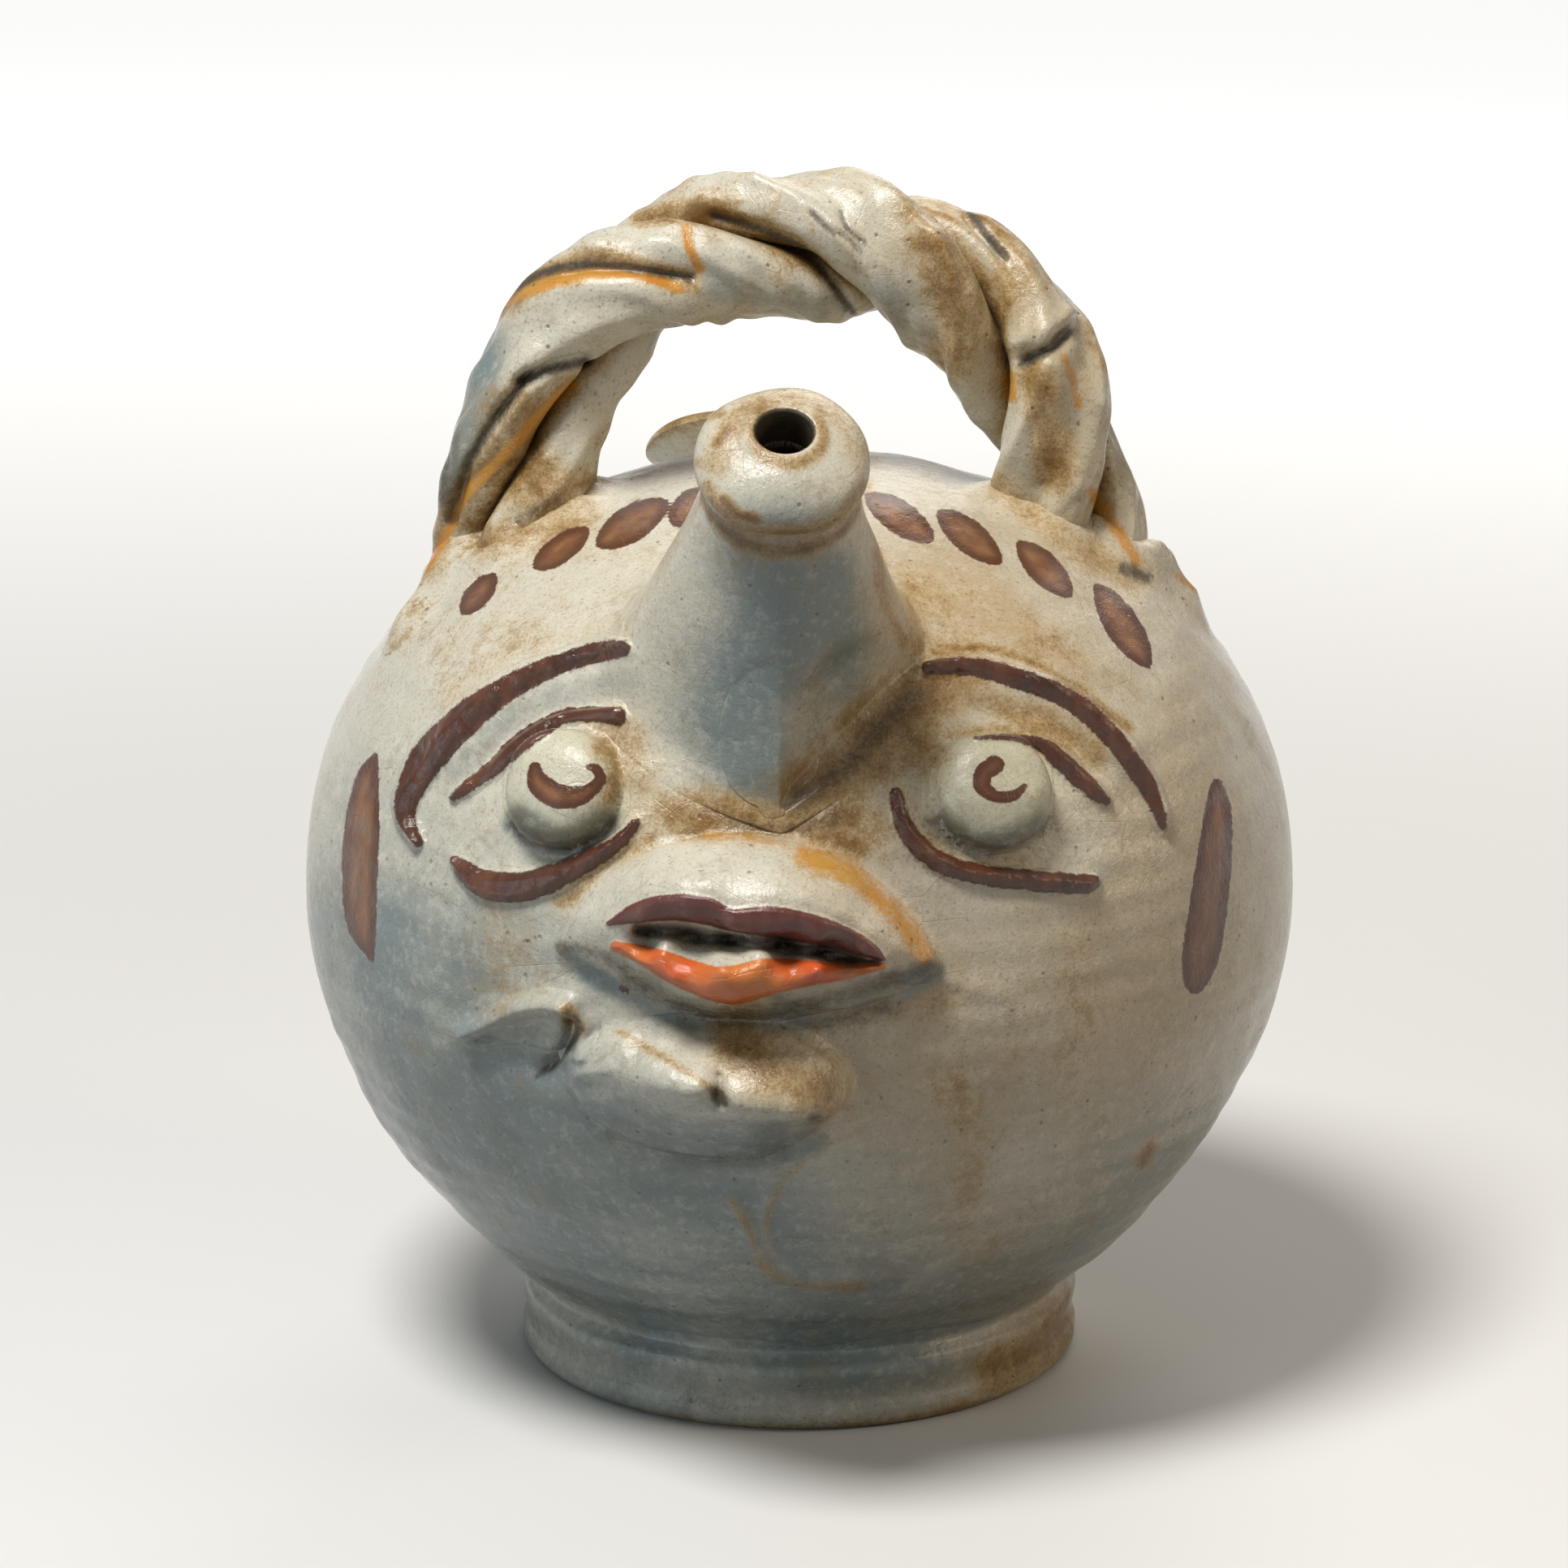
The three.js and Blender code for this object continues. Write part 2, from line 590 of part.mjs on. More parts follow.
// Face: the pieces, each with the seat that it leaves in what is pressed on after it
const mouthFrame = faceFrame(MOUTH_PLACE, MOUTH_ROLL);
const mouthCount = { rings: DAB_RINGS + 2, sides: DAB_SIDES + COIL_SIDES };
const mouthForm = (grow) => dab(mouthFrame, mouthOutline, mouthRise, { ...mouthCount, grow });
const mouthSeat = mouthForm(SEAT_GAP);
const chinFrame = faceFrame(CHIN_PLACE);
const chinForm = (grow) => dab(chinFrame, chinOutline, chinRise, { grow });
const eyeForm = (place, grow) => dab(faceFrame(place), eyeOutline, eyeRise, { grow });
const eyeSeats = [EYE_LEFT, EYE_RIGHT].map((place) => eyeForm(place, SEAT_GAP));

function faceCoil(route, halfWidth, height, grow = 0) {
  const points = route.map((place) => onFace(...place));
  return coil(points, halfWidth, height, { grow });
}

const lidForm = (route, grow) => faceCoil(route, LID_HALF_WIDTH, LID_HEIGHT, grow);
const upperLidSeats = [UPPER_LID_LEFT, UPPER_LID_RIGHT].map((route) => lidForm(route, SEAT_GAP));

const eye = (place) => clearOf(eyeForm(place, 0), spoutSeat);
const lid = (route) => clearOf(lidForm(route, 0), spoutSeat, mouthSeat, ...eyeSeats);
const browForm = (route) => faceCoil(route, BROW_HALF_WIDTH, BROW_HEIGHT);
const brow = (route) => clearOf(browForm(route), spoutSeat, ...upperLidSeats);
const noseBridge = clearOf(bridgeForm(), spoutSeat, mouthSeat, ...eyeSeats);
const chinBoss = clearOf(chinForm(0), mouthSeat);
const foldForm = faceCoil(FOLD_ROUTE, FOLD_HALF_WIDTH, FOLD_HEIGHT);
const cheekFold = clearOf(foldForm, chinForm(SEAT_GAP), mouthSeat);

// A lip is a tapered roll across the beak, on one side of the parting.
function lip(side) {
  return solidOf(
    lofted(
      (along, around) => {
        const x = LIP_SPAN * (2 * along - 1);
        const taper = LIP_END + (1 - LIP_END) * Math.sin(Math.PI * along) ** 0.7;
        const half = LIP_HALF_HEIGHT * taper;
        const turn = 2 * Math.PI * around;
        const y = side * (LIP_PARTING * taper + half) + half * Math.cos(turn);
        const rise = LIP_BULGE * taper * Math.max(0, Math.sin(turn));
        const flat = new THREE.Vector3(x, y, 0).applyMatrix4(mouthFrame);
        return settle(flat, 2 * SEAT_GAP + mouthRise(x, y) + rise);
      },
      2 * COIL_SIDES,
      COIL_SIDES + 2,
    ),
  );
}

// Glazes, as colour and roughness
const glaze = {
  tin: [0xcfc8b8, 0.32],
  shade: [0xb9bcb9, 0.3],
  brown: [0x5b2f26, 0.22],
  maroon: [0x6b3436, 0.2],
  coral: [0xd9643c, 0.2],
  eye: [0xd8d2b8, 0.25],
};

// A group of pieces, each given as its name, its solid and its glaze.
function assembly(...pieces) {
  const group = new THREE.Group();
  for (const [name, solid, [color, roughness]] of pieces) {
    const material = new THREE.MeshStandardMaterial({ color, roughness, metalness: 0 });
    const mesh = new THREE.Mesh(geometryOf(solid), material);
    mesh.name = name;
    group.add(mesh);
  }
  return group;
}

const vessel = assembly(
  ["body_globe", globeShell, glaze.tin],
  ["foot_ring", foot, glaze.shade],
  ["filling_neck", fillingNeck, glaze.tin],
);

const spout = assembly(
  ["nose_spout", noseSpout, glaze.shade],
  ["spout_knob", spoutKnob, glaze.tin],
  ["nose_bridge", noseBridge, glaze.shade],
);

const handle = assembly(
  ["handle_strand_a", clearOf(strandForm(0, 0), globeSeat), glaze.tin],
  ["handle_strand_b", clearOf(strandForm(180, 0), globeSeat), glaze.tin],
  ["handle_tail_left", tail(TAIL_LEFT), glaze.tin],
  ["handle_tail_right", tail(TAIL_RIGHT), glaze.tin],
);

const face = assembly(
  ["eye_left", eye(EYE_LEFT), glaze.eye],
  ["eye_right", eye(EYE_RIGHT), glaze.eye],
  ["brow_left", brow(BROW_LEFT), glaze.brown],
  ["brow_right", brow(BROW_RIGHT), glaze.brown],
  ["upper_lid_left", lid(UPPER_LID_LEFT), glaze.brown],
  ["upper_lid_right", lid(UPPER_LID_RIGHT), glaze.brown],
  ["lower_lid_left", lid(LOWER_LID_LEFT), glaze.brown],
  ["lower_lid_right", lid(LOWER_LID_RIGHT), glaze.brown],
  ["mouth_mound", mouthForm(0), glaze.tin],
  ["upper_lip", lip(1), glaze.maroon],
  ["lower_lip", lip(-1), glaze.coral],
  ["chin_boss", chinBoss, glaze.shade],
  ["cheek_fold", cheekFold, glaze.shade],
);

const jug = new THREE.Group();
jug.name = "spouted_jug";
jug.add(vessel, spout, handle, face);
export default jug;
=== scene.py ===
"""Looks of a tin-glazed jug made as a face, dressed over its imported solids.

Shapes are worked out in millimetres and written to the meshes in metres, in the frame of the CAD
model: +Z up, the face towards -Y, the foot's underside at Z = 0.

Everything on the face is laid out on a chart: the plane through the jug's middle as the front view
shows it, counted in steps from its top left corner. A place on the chart is a pair (right, down).
"""
import logging
import math
from dataclasses import dataclass, field
from enum import Enum
from typing import Callable, Sequence

import bpy
import numpy as np
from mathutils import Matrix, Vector


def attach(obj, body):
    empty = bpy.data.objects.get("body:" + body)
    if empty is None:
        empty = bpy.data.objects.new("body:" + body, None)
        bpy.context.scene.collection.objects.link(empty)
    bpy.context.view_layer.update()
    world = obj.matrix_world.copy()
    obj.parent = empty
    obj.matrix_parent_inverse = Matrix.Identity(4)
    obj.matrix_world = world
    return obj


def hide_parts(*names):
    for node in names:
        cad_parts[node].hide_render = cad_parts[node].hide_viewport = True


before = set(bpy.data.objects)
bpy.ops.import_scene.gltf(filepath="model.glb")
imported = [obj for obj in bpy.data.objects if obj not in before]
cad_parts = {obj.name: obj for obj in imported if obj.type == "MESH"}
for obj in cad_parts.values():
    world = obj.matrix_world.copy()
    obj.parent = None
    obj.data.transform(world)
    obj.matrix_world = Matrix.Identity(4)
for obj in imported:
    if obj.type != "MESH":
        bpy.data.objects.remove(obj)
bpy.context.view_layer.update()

log = logging.getLogger("jug")
MM = 0.001
Array = np.ndarray
Line = Sequence[Sequence[float]]
Colour = tuple[float, float, float]
Frame = tuple[Array, Array]
Piece = bpy.types.Object
Link = bpy.types.NodeSocket

# Widths of a line beyond which its effect is too faint to work out.
FADE = 2.8
# Where the underside of draped clay lies, above the skin of the globe.
BURIED = -2.6
# Depth under the skin at which clay is kept where it has faded out or faces away.
SUNK = 4.0
# How far clay sinks to make room for what lies on it.
ROOM = 0.6
# Size of the small ring that closes a loft's end, as a share of the end's own ring.
CAP = 0.02


class Wash(Enum):
    """Soft colours on the glaze: ochre and orange stains, a painted bluish shade, painted light that is
    partly the glaze's own beige, and painted shade with dark marks in the creases.
    """

    OCHRE = "ochre"
    ORANGE = "orange"
    # Painted bluish shade and painted reflection of a dark surface below.
    COOL_SHADE = "cool"
    # Painted light from the right, partly the glaze's own beige.
    WARM_LIGHT_AND_BEIGE = "warm"
    # Painted shade in creases, hollows and under the features, with some dark marks of its own.
    SHADE_AND_GRIME = "grime"


class Paint(Enum):
    """Colours laid on with a brush, each with a crisp edge."""

    BROWN = "brown"
    THIN = "thin"
    MAROON = "maroon"
    CORAL = "coral"


# Numbers on arrays


def unit(vectors: Array) -> Array:
    """Scales each vector to length one."""
    return vectors / np.linalg.norm(vectors, axis=-1, keepdims=True)


def ease(values: Array, low: float, high: float) -> Array:
    """A smooth step: 0 below low, 1 above high, and 3t^2 - 2t^3 between."""
    t = np.clip((values - low) / (high - low), 0, 1)
    return t * t * (3 - 2 * t)


def swell(a: Array, b: Array, blend: float) -> Array:
    """max(a, b) + blend * h^3 / 6, a fillet, where h falls from 1 to 0 as they differ by blend."""
    near = np.clip(1 - np.abs(a - b) / blend, 0, 1)
    return np.maximum(a, b) + blend * near**3 / 6


def signed_power(values: Array, power: float) -> Array:
    """The power of the size of each number, with the number's own sign."""
    return np.sign(values) * np.abs(values) ** power


def ripples(points: Array, length: float, seed: int, waves: int = 14) -> Array:
    """Irregular waves through space: a sum of sines that run in random directions.

    Args:
        points: Places in millimetres.
        length: Typical length of a wave.
        seed: Picks the directions and phases.
        waves: Number of sines.

    Returns:
        One number for each place, mostly between -1 and 1.
    """
    rng = np.random.default_rng(seed)
    ways = unit(rng.normal(size=(waves, 3))) * rng.uniform(0.6, 1.7, (waves, 1))
    phase = points @ ways.T * (2 * math.pi / length) + rng.uniform(0, 2 * math.pi, waves)
    return np.sin(phase).sum(-1) / math.sqrt(waves)


def through(a: Array, b: Array, c: Array, d: Array, t: Array) -> Array:
    """The Catmull-Rom cubic at shares t from b to c, with a the knot before and d the one after."""
    return b + 0.5 * t * (c - a + t * (2 * a - 5 * b + 4 * c - d + t * (3 * (b - c) + d - a)))


def smooth_line(line: Line, steps: int = 8) -> Array:
    """Rounds a line of knots with a Catmull-Rom curve.

    Args:
        line: Knots, each a row of any length.
        steps: Points from one knot to the next.

    Returns:
        The points of the curve, through every knot.
    """
    knots = np.asarray(line, float)
    if len(knots) < 3:
        return knots
    padded = np.vstack([2 * knots[0] - knots[1], knots, 2 * knots[-1] - knots[-2]])
    t = np.linspace(0, 1, steps, endpoint=False)[:, None, None]
    curve = through(padded[:-3], padded[1:-2], padded[2:-1], padded[3:], t)
    return np.vstack([curve.transpose(1, 0, 2).reshape(-1, knots.shape[1]), knots[-1]])


def along_line(places: Array, line: Array, reach: float = 40.0) -> tuple[Array, Array]:
    """Finds for each place how deep it lies inside a line of varying half width.

    Args:
        places: Rows of coordinates.
        line: Points of the line, whose last column is the half width there.
        reach: How far beyond the line's edge the answer matters; places outside get that depth.

    Returns:
        Half width less distance, at the nearest stretch, and the distance itself.
    """
    size = places.shape[-1]
    margin = reach + line[:, size].max()
    low, high = line[:, :size].min(0) - margin, line[:, :size].max(0) + margin
    near = ((places > low) & (places < high)).all(-1)
    if not near.all():
        depth, gap = np.full(len(places), -reach), np.full(len(places), margin)
        if near.any():
            depth[near], gap[near] = along_line(places[near], line, 1e9)
        return depth, gap
    start, run = line[:-1, :size], np.diff(line[:, :size], axis=0)
    length = np.maximum((run**2).sum(-1), 1e-9)
    t = np.clip(((places[:, None] - start) * run).sum(-1) / length, 0, 1)
    gap = np.linalg.norm(places[:, None] - start - t[..., None] * run, axis=-1)
    width = line[:-1, size] + t * (line[1:, size] - line[:-1, size])
    depth = width - gap
    best = depth.argmax(-1)[:, None]
    return np.take_along_axis(depth, best, 1)[:, 0], np.take_along_axis(gap, best, 1)[:, 0]


def gap_to(places: Array, line: Line, spread: float) -> Array:
    """Distance of chart places from a smoothed line, exact where it is under FADE spreads."""
    curve = smooth_line([(x, y) for x, y, *_ in line])
    return along_line(places, np.column_stack([curve, np.zeros(len(curve))]), FADE * spread)[1]


# The skin of the globe


@dataclass(frozen=True)
class Skin:
    """The globe's outer surface: a revolved curve, fuller above its equator than below."""

    radius: float = 108.72
    equator: float = 104.7
    crown: float = 95.1
    crown_power: float = 2.2
    belly: float = 108.0
    belly_power: float = 1.81

    @property
    def centre(self) -> Array:
        """The middle of the globe, on its equator's plane."""
        return np.array([0, 0, self.equator])

    def reach(self, elevation: Array, extra: float = 0.0) -> Array:
        """Distance from the centre to the skin: the radius of a superellipse at an elevation.

        Args:
            elevation: Angles above the equator in radians.
            extra: Growth of every half axis.

        Returns:
            Distances in millimetres.
        """
        up = elevation > 0
        power = np.where(up, self.crown_power, self.belly_power)
        rise = np.where(up, self.crown, self.belly) + extra
        across = np.cos(elevation) / (self.radius + extra)
        along = np.abs(np.sin(elevation)) / rise
        return (across**power + along**power) ** (-1 / power)

    def normal(self, points: Array) -> Array:
        """Outward unit normals: the gradient of the superellipse's own formula.

        Args:
            points: Places on the skin.

        Returns:
            One unit vector for each place.
        """
        side = np.maximum(np.hypot(points[..., 0], points[..., 1]), 1e-6)
        height = points[..., 2] - self.equator
        up = height > 0
        power = np.where(up, self.crown_power, self.belly_power)
        rise = np.where(up, self.crown, self.belly)
        out = (side / self.radius) ** (power - 1) / self.radius / side
        climb = np.sign(height) * (np.abs(height) / rise) ** (power - 1) / rise
        return unit(np.stack([points[..., 0] * out, points[..., 1] * out, climb], -1))

    def settle(self, points: Array, lift: Array | float = 0.0) -> Array:
        """Moves places straight out from the centre onto the skin, then along its normal.

        Args:
            points: Places in space.
            lift: Height above the skin.

        Returns:
            The moved places.
        """
        ray = points - self.centre
        elevation = np.arctan2(ray[..., 2], np.hypot(ray[..., 0], ray[..., 1]))
        skin = unit(ray) * self.reach(elevation)[..., None] + self.centre
        return skin + self.normal(skin) * np.asarray(lift)[..., None]

    def below(self, points: Array) -> tuple[Array, Array]:
        """Finds where points stand on the skin, by stepping back along its normal a few times.

        Args:
            points: Places in space.

        Returns:
            The places on the skin straight below, and the heights above them.
        """
        skin = self.settle(points)
        rise = np.zeros(points.shape[:-1])
        for _ in range(4):
            normal = self.normal(skin)
            rise = ((points - skin) * normal).sum(-1)
            skin = self.settle(points - normal * rise[..., None])
        return skin, rise

    def at(self, azimuth: Array | float, elevation: Array | float) -> Array:
        """Places on the skin from angles in degrees, with azimuth 0 at the face."""
        return self.settle(self.heading(azimuth, elevation) + self.centre)

    def face(self, across: float, up: float) -> Array:
        """A place on the face from distances over the skin, as arcs of the globe's radius."""
        arc = math.degrees(1 / self.radius)
        return self.at(across * arc, up * arc)

    @staticmethod
    def heading(azimuth: Array | float, pitch: Array | float) -> Array:
        """Unit directions from azimuths and pitches in degrees."""
        a, p = np.radians(azimuth), np.radians(pitch)
        return np.stack([np.cos(p) * np.sin(a), -np.cos(p) * np.cos(a), np.sin(p) + 0 * a], -1)


@dataclass(frozen=True)
class Chart:
    """The front view as a flat chart, seen from a fixed place before the jug."""

    width: float = 1932.0
    step: float = 0.1784
    distance: float = 1350.0
    pitch: float = 15.5
    target: tuple[float, float, float] = (-3.4, 0.0, 128.1)

    @property
    def eye(self) -> Array:
        """The place that the chart is seen from."""
        e = math.radians(self.pitch)
        return np.array(self.target) + self.distance * np.array([0, -math.cos(e), math.sin(e)])

    @property
    def axes(self) -> tuple[Array, Array, Array]:
        """Right, up and forward of the chart's view."""
        e = math.radians(self.pitch)
        up = np.array([0, math.sin(e), math.cos(e)])
        return np.array([1.0, 0, 0]), up, np.array([0, math.cos(e), -math.sin(e)])

    def place(self, points: Array) -> Array:
        """Chart places of points in space, by central projection.

        Args:
            points: Places in millimetres.

        Returns:
            Rows of right and down.
        """
        right, up, ahead = self.axes
        ray = points - self.eye
        scale = self.distance / self.step / (ray @ ahead)
        half = self.width / 2
        return np.stack([half + scale * (ray @ right), half - scale * (ray @ up)], -1)

    def on_skin(self, places: Array, skin: Skin) -> Array:
        """The points of the globe that show at chart places, found by halving along each ray.

        Args:
            places: Rows of right and down.
            skin: The globe's surface.

        Returns:
            Places on the skin.
        """
        right, up, ahead = self.axes
        offset = (np.asarray(places, float) - self.width / 2) * self.step / self.distance
        ray = unit(ahead + offset[..., :1] * right - offset[..., 1:] * up)
        near = np.full(ray.shape[:-1], self.distance - 300.0)
        far = (skin.centre - self.eye) @ ray.reshape(-1, 3).T
        far = far.reshape(near.shape)
        for _ in range(40):
            middle = (near + far) / 2
            out = self.eye + ray * middle[..., None] - skin.centre
            elevation = np.arctan2(out[..., 2], np.hypot(out[..., 0], out[..., 1]))
            outside = np.linalg.norm(out, axis=-1) > skin.reach(elevation)
            near, far = np.where(outside, middle, near), np.where(outside, far, middle)
        return skin.settle(self.eye + ray * near[..., None])


SKIN = Skin()
CHART = Chart()


def facing_front(points: Array, normals: Array, full: float = 0.12) -> Array:
    """0 where a surface is turned away from the chart's eye, 1 from the cosine full on."""
    return ease((normals * unit(CHART.eye - points)).sum(-1), 0.0, full)


def frame_at(point: Array, direction: Array, roll: float = 0.0) -> Frame:
    """A frame at a point with Z along a direction and Y as near upright as it can be.

    Args:
        point: Origin.
        direction: The frame's Z.
        roll: Turn about Z in degrees.

    Returns:
        The origin and a matrix whose rows are the frame's X, Y and Z.
    """
    z = unit(direction)
    x = unit(np.cross([0, 0, 1], z))
    y = np.cross(z, x)
    c, s = math.cos(math.radians(roll)), math.sin(math.radians(roll))
    return point, np.array([c * x + s * y, c * y - s * x, z])


def into(points: Array, place: Frame) -> Array:
    """Coordinates of points in a frame."""
    return (points - place[0]) @ place[1].T


def out_of(points: Array, place: Frame) -> Array:
    """Points in space from their coordinates in a frame."""
    return points @ place[1] + place[0]


# Meshes from grids


def grid_faces(rows: int, columns: int, wrap_rows: bool, wrap_columns: bool) -> Array:
    """Quads of a grid of vertices that are numbered row by row.

    Args:
        rows: Number of rows.
        columns: Number of columns.
        wrap_rows: Whether the last row joins the first.
        wrap_columns: Whether the last column joins the first.

    Returns:
        Rows of four vertex numbers.
    """
    i = np.arange(rows if wrap_rows else rows - 1)[:, None]
    j = np.arange(columns if wrap_columns else columns - 1)[None, :]
    down, right = (i + 1) % rows, (j + 1) % columns
    corners = [i * columns + j, i * columns + right, down * columns + right, down * columns + j]
    return np.stack([np.broadcast_to(c, (i.size, j.size)) for c in corners], -1).reshape(-1, 4)


def facing_out(points: Array, faces: Array) -> Array:
    """Turns the quads round if they enclose a negative volume.

    Args:
        points: Vertices.
        faces: Quads.

    Returns:
        Quads whose faces point out.
    """
    a, b, c, d = (points[faces[:, k]] for k in range(4))
    volume = (np.cross(b - a, c - a) * a).sum() + (np.cross(c - a, d - a) * a).sum()
    return faces if volume > 0 else faces[:, ::-1]


def new_piece(name: str, points: Array, faces: Array) -> Piece:
    """Makes a smooth-shaded mesh object at the origin.

    Args:
        name: The object's name.
        points: Vertices in millimetres.
        faces: Quads or triangles, all of one size.

    Returns:
        The object, linked to the scene.
    """
    mesh = bpy.data.meshes.new(name)
    mesh.from_pydata((points * MM).tolist(), [], faces.tolist())
    mesh.validate()
    mesh.shade_smooth()
    piece = bpy.data.objects.new(name, mesh)
    bpy.context.scene.collection.objects.link(piece)
    return piece


def loft(name: str, grid: Array, closed: bool = False) -> Piece:
    """Skins a grid of rings.

    Args:
        name: The object's name.
        grid: Rings by sides by three.
        closed: Whether the last ring joins the first; otherwise each end is drawn to a point.

    Returns:
        The object.
    """
    rings, sides = grid.shape[:2]
    if closed:
        points = grid.reshape(-1, 3)
        faces = grid_faces(rings, sides, True, True)
        return new_piece(name, points, facing_out(points, faces))
    middle = grid[[0, -1]].mean(1)
    caps = middle[:, None] + (grid[[0, -1]] - middle[:, None]) * CAP
    full = np.concatenate([caps[:1], grid, caps[1:]])
    points = full.reshape(-1, 3)
    quads = facing_out(points, grid_faces(rings + 2, sides, False, True))
    flip = (quads[0] != grid_faces(2, sides, False, True)[0]).any()
    j = np.arange(sides // 2 - 1)
    low = np.stack([j, sides - 1 - j, sides - 2 - j, j + 1], -1)
    high = low[:, ::-1] + (rings + 1) * sides
    ends = np.vstack([low, high])
    return new_piece(name, points, np.vstack([quads, ends[:, ::-1] if flip else ends]))


def slab(name: str, top: Array, under: Array) -> Piece:
    """Closes two open grids of the same size into one body by a rim between them.

    Args:
        name: The object's name.
        top: Rows by columns by three, the side that shows.
        under: The same for the side that is buried.

    Returns:
        The object.
    """
    rows, columns = top.shape[:2]
    count = rows * columns
    upper = grid_faces(rows, columns, False, False)
    index = np.arange(count).reshape(rows, columns)
    rim = np.concatenate([index[0, :-1], index[:-1, -1], index[-1, :0:-1], index[:0:-1, 0]])
    after = np.roll(rim, -1)
    side = np.stack([after, rim, rim + count, after + count], -1)
    points = np.concatenate([top.reshape(-1, 3), under.reshape(-1, 3)])
    faces = np.vstack([upper, upper[:, ::-1] + count, side])
    return new_piece(name, points, facing_out(points, faces))


def carve(piece: Piece, cutters: Sequence[Piece]) -> None:
    """Cuts other bodies out of a piece, applies the cuts and removes the cutters.

    Args:
        piece: The object to cut.
        cutters: Closed objects.
    """
    for cutter in cutters:
        cut = piece.modifiers.new(cutter.name, "BOOLEAN")
        cut.operation, cut.solver, cut.object = "DIFFERENCE", "MANIFOLD", cutter
    ready = piece.evaluated_get(bpy.context.evaluated_depsgraph_get())
    mesh = bpy.data.meshes.new_from_object(ready)
    piece.modifiers.clear()
    old, piece.data = piece.data, mesh
    bpy.data.meshes.remove(old)
    mesh.name = piece.name
    mesh.materials.clear()
    for cutter in cutters:
        bpy.data.objects.remove(cutter)
    mesh.shade_smooth()


def rod(name: str, radius: float, place: Frame) -> Piece:
    """A closed rod through the globe's wall at a frame, for cutting a bore."""
    return loft(name, turned([(radius, h) for h in np.linspace(-28, 6, 6)], place, 48))


def turned(profile: Line, place: Frame, sides: int) -> Array:
    """Rings of a solid of revolution about the Z of a frame.

    Args:
        profile: Pairs of radius and height.
        place: The frame.
        sides: Points in a ring.

    Returns:
        Rings by sides by three.
    """
    rows = np.asarray(profile, float)
    turn = np.linspace(0, 2 * math.pi, sides, endpoint=False)
    x = rows[:, :1] * np.cos(turn)
    y = rows[:, :1] * np.sin(turn)
    z = np.broadcast_to(rows[:, 1:], x.shape)
    return out_of(np.stack([x, y, z], -1), place)


# What the chart holds

LEFT_BROW = [(766, 799, 11), (740, 803, 13), (700, 814, 13), (640, 840, 15), (580, 880, 20),
             (530, 930, 22), (506, 972, 17), (499, 1005, 13), (515, 1038, 6)]
RIGHT_BROW = [(1144, 822, 9), (1200, 822, 12), (1260, 838, 13), (1320, 864, 13), (1370, 908, 13),
              (1410, 962, 12), (1426, 995, 9), (1434, 1020, 4)]
LEFT_UPPER_LID = [(760, 882, 12), (728, 880, 10), (690, 885, 10), (645, 912, 12), (605, 948, 10),
                  (575, 970, 8), (558, 983, 5)]
RIGHT_UPPER_LID = [(1203, 909, 3), (1240, 908, 4), (1280, 916, 8), (1306, 936, 12),
                   (1335, 962, 12), (1354, 980, 9), (1364, 988, 5)]
LEFT_LOWER_LID = [(783, 1014, 6), (762, 1038, 10), (722, 1062, 13), (680, 1082, 17),
                  (640, 1093, 19), (600, 1090, 18), (575, 1075, 13), (561, 1060, 7)]
RIGHT_LOWER_LID = [(1104, 978, 8), (1111, 1010, 11), (1130, 1040, 13), (1160, 1063, 13),
                   (1200, 1076, 13), (1270, 1085, 13), (1330, 1089, 13), (1347, 1086, 9)]
UPPER_LIP = [(750, 1138, 4), (788, 1124, 14), (830, 1118, 17), (868, 1122, 18), (900, 1133, 15),
             (948, 1136, 20), (1000, 1145, 19), (1040, 1157, 16), (1070, 1170, 11), (1088, 1181, 4)]
LOWER_LIP = [(758, 1166, 7), (795, 1178, 13), (822, 1190, 18), (850, 1202, 20), (880, 1212, 22),
             (910, 1213, 25), (950, 1203, 23), (1000, 1199, 16), (1040, 1197, 11), (1088, 1190, 5)]
PARTING = [(786, 1146, 5), (830, 1149, 10), (868, 1158, 11), (900, 1160, 9), (950, 1163, 9),
           (1000, 1172, 8), (1050, 1182, 5), (1080, 1186, 3)]
LEFT_PUPIL = [(659, 946, 8), (663, 964, 14), (682, 979, 16), (706, 982, 14), (727, 974, 10),
              (739, 960, 8), (735, 948, 7), (724, 945, 4)]
RIGHT_PUPIL = [(1226, 942, 12), (1213, 952, 12), (1210, 968, 11), (1226, 981, 8), (1249, 980, 7),
               (1262, 969, 4)]


def leaf(start: tuple[float, float], end: tuple[float, float], half: float) -> Line:
    """A pointed leaf between two places: its half width follows sin(pi t)^0.75."""
    share = np.linspace(0, 1, 9)
    line = np.outer(1 - share, start) + np.outer(share, end)
    return np.column_stack([line, half * np.sin(math.pi * share) ** 0.75 + 1]).tolist()


LEAVES = [
    leaf((568, 757), (611, 707), 15), leaf((657, 701), (726, 651), 17),
    leaf((734, 673), (823, 617), 22), leaf((829, 644), (870, 606), 19),
    leaf((1066, 609), (1151, 666), 20), leaf((1155, 629), (1234, 694), 20),
    leaf((1253, 667), (1321, 735), 19), leaf((1349, 719), (1418, 824), 21),
]
BARS = [
    [(463, 928, 3), (452, 962, 15), (446, 1020, 22), (443, 1090, 22), (446, 1140, 18),
     (458, 1182, 4)],
    [(1499, 966, 8), (1501, 1000, 17), (1496, 1060, 22), (1487, 1130, 24), (1479, 1180, 23),
     (1473, 1210, 15)],
    LEFT_PUPIL,
    RIGHT_PUPIL,
    [(766, 1217, 5), (774, 1223, 4)],
    [(650, 1158, 4), (658, 1156, 4)],
]
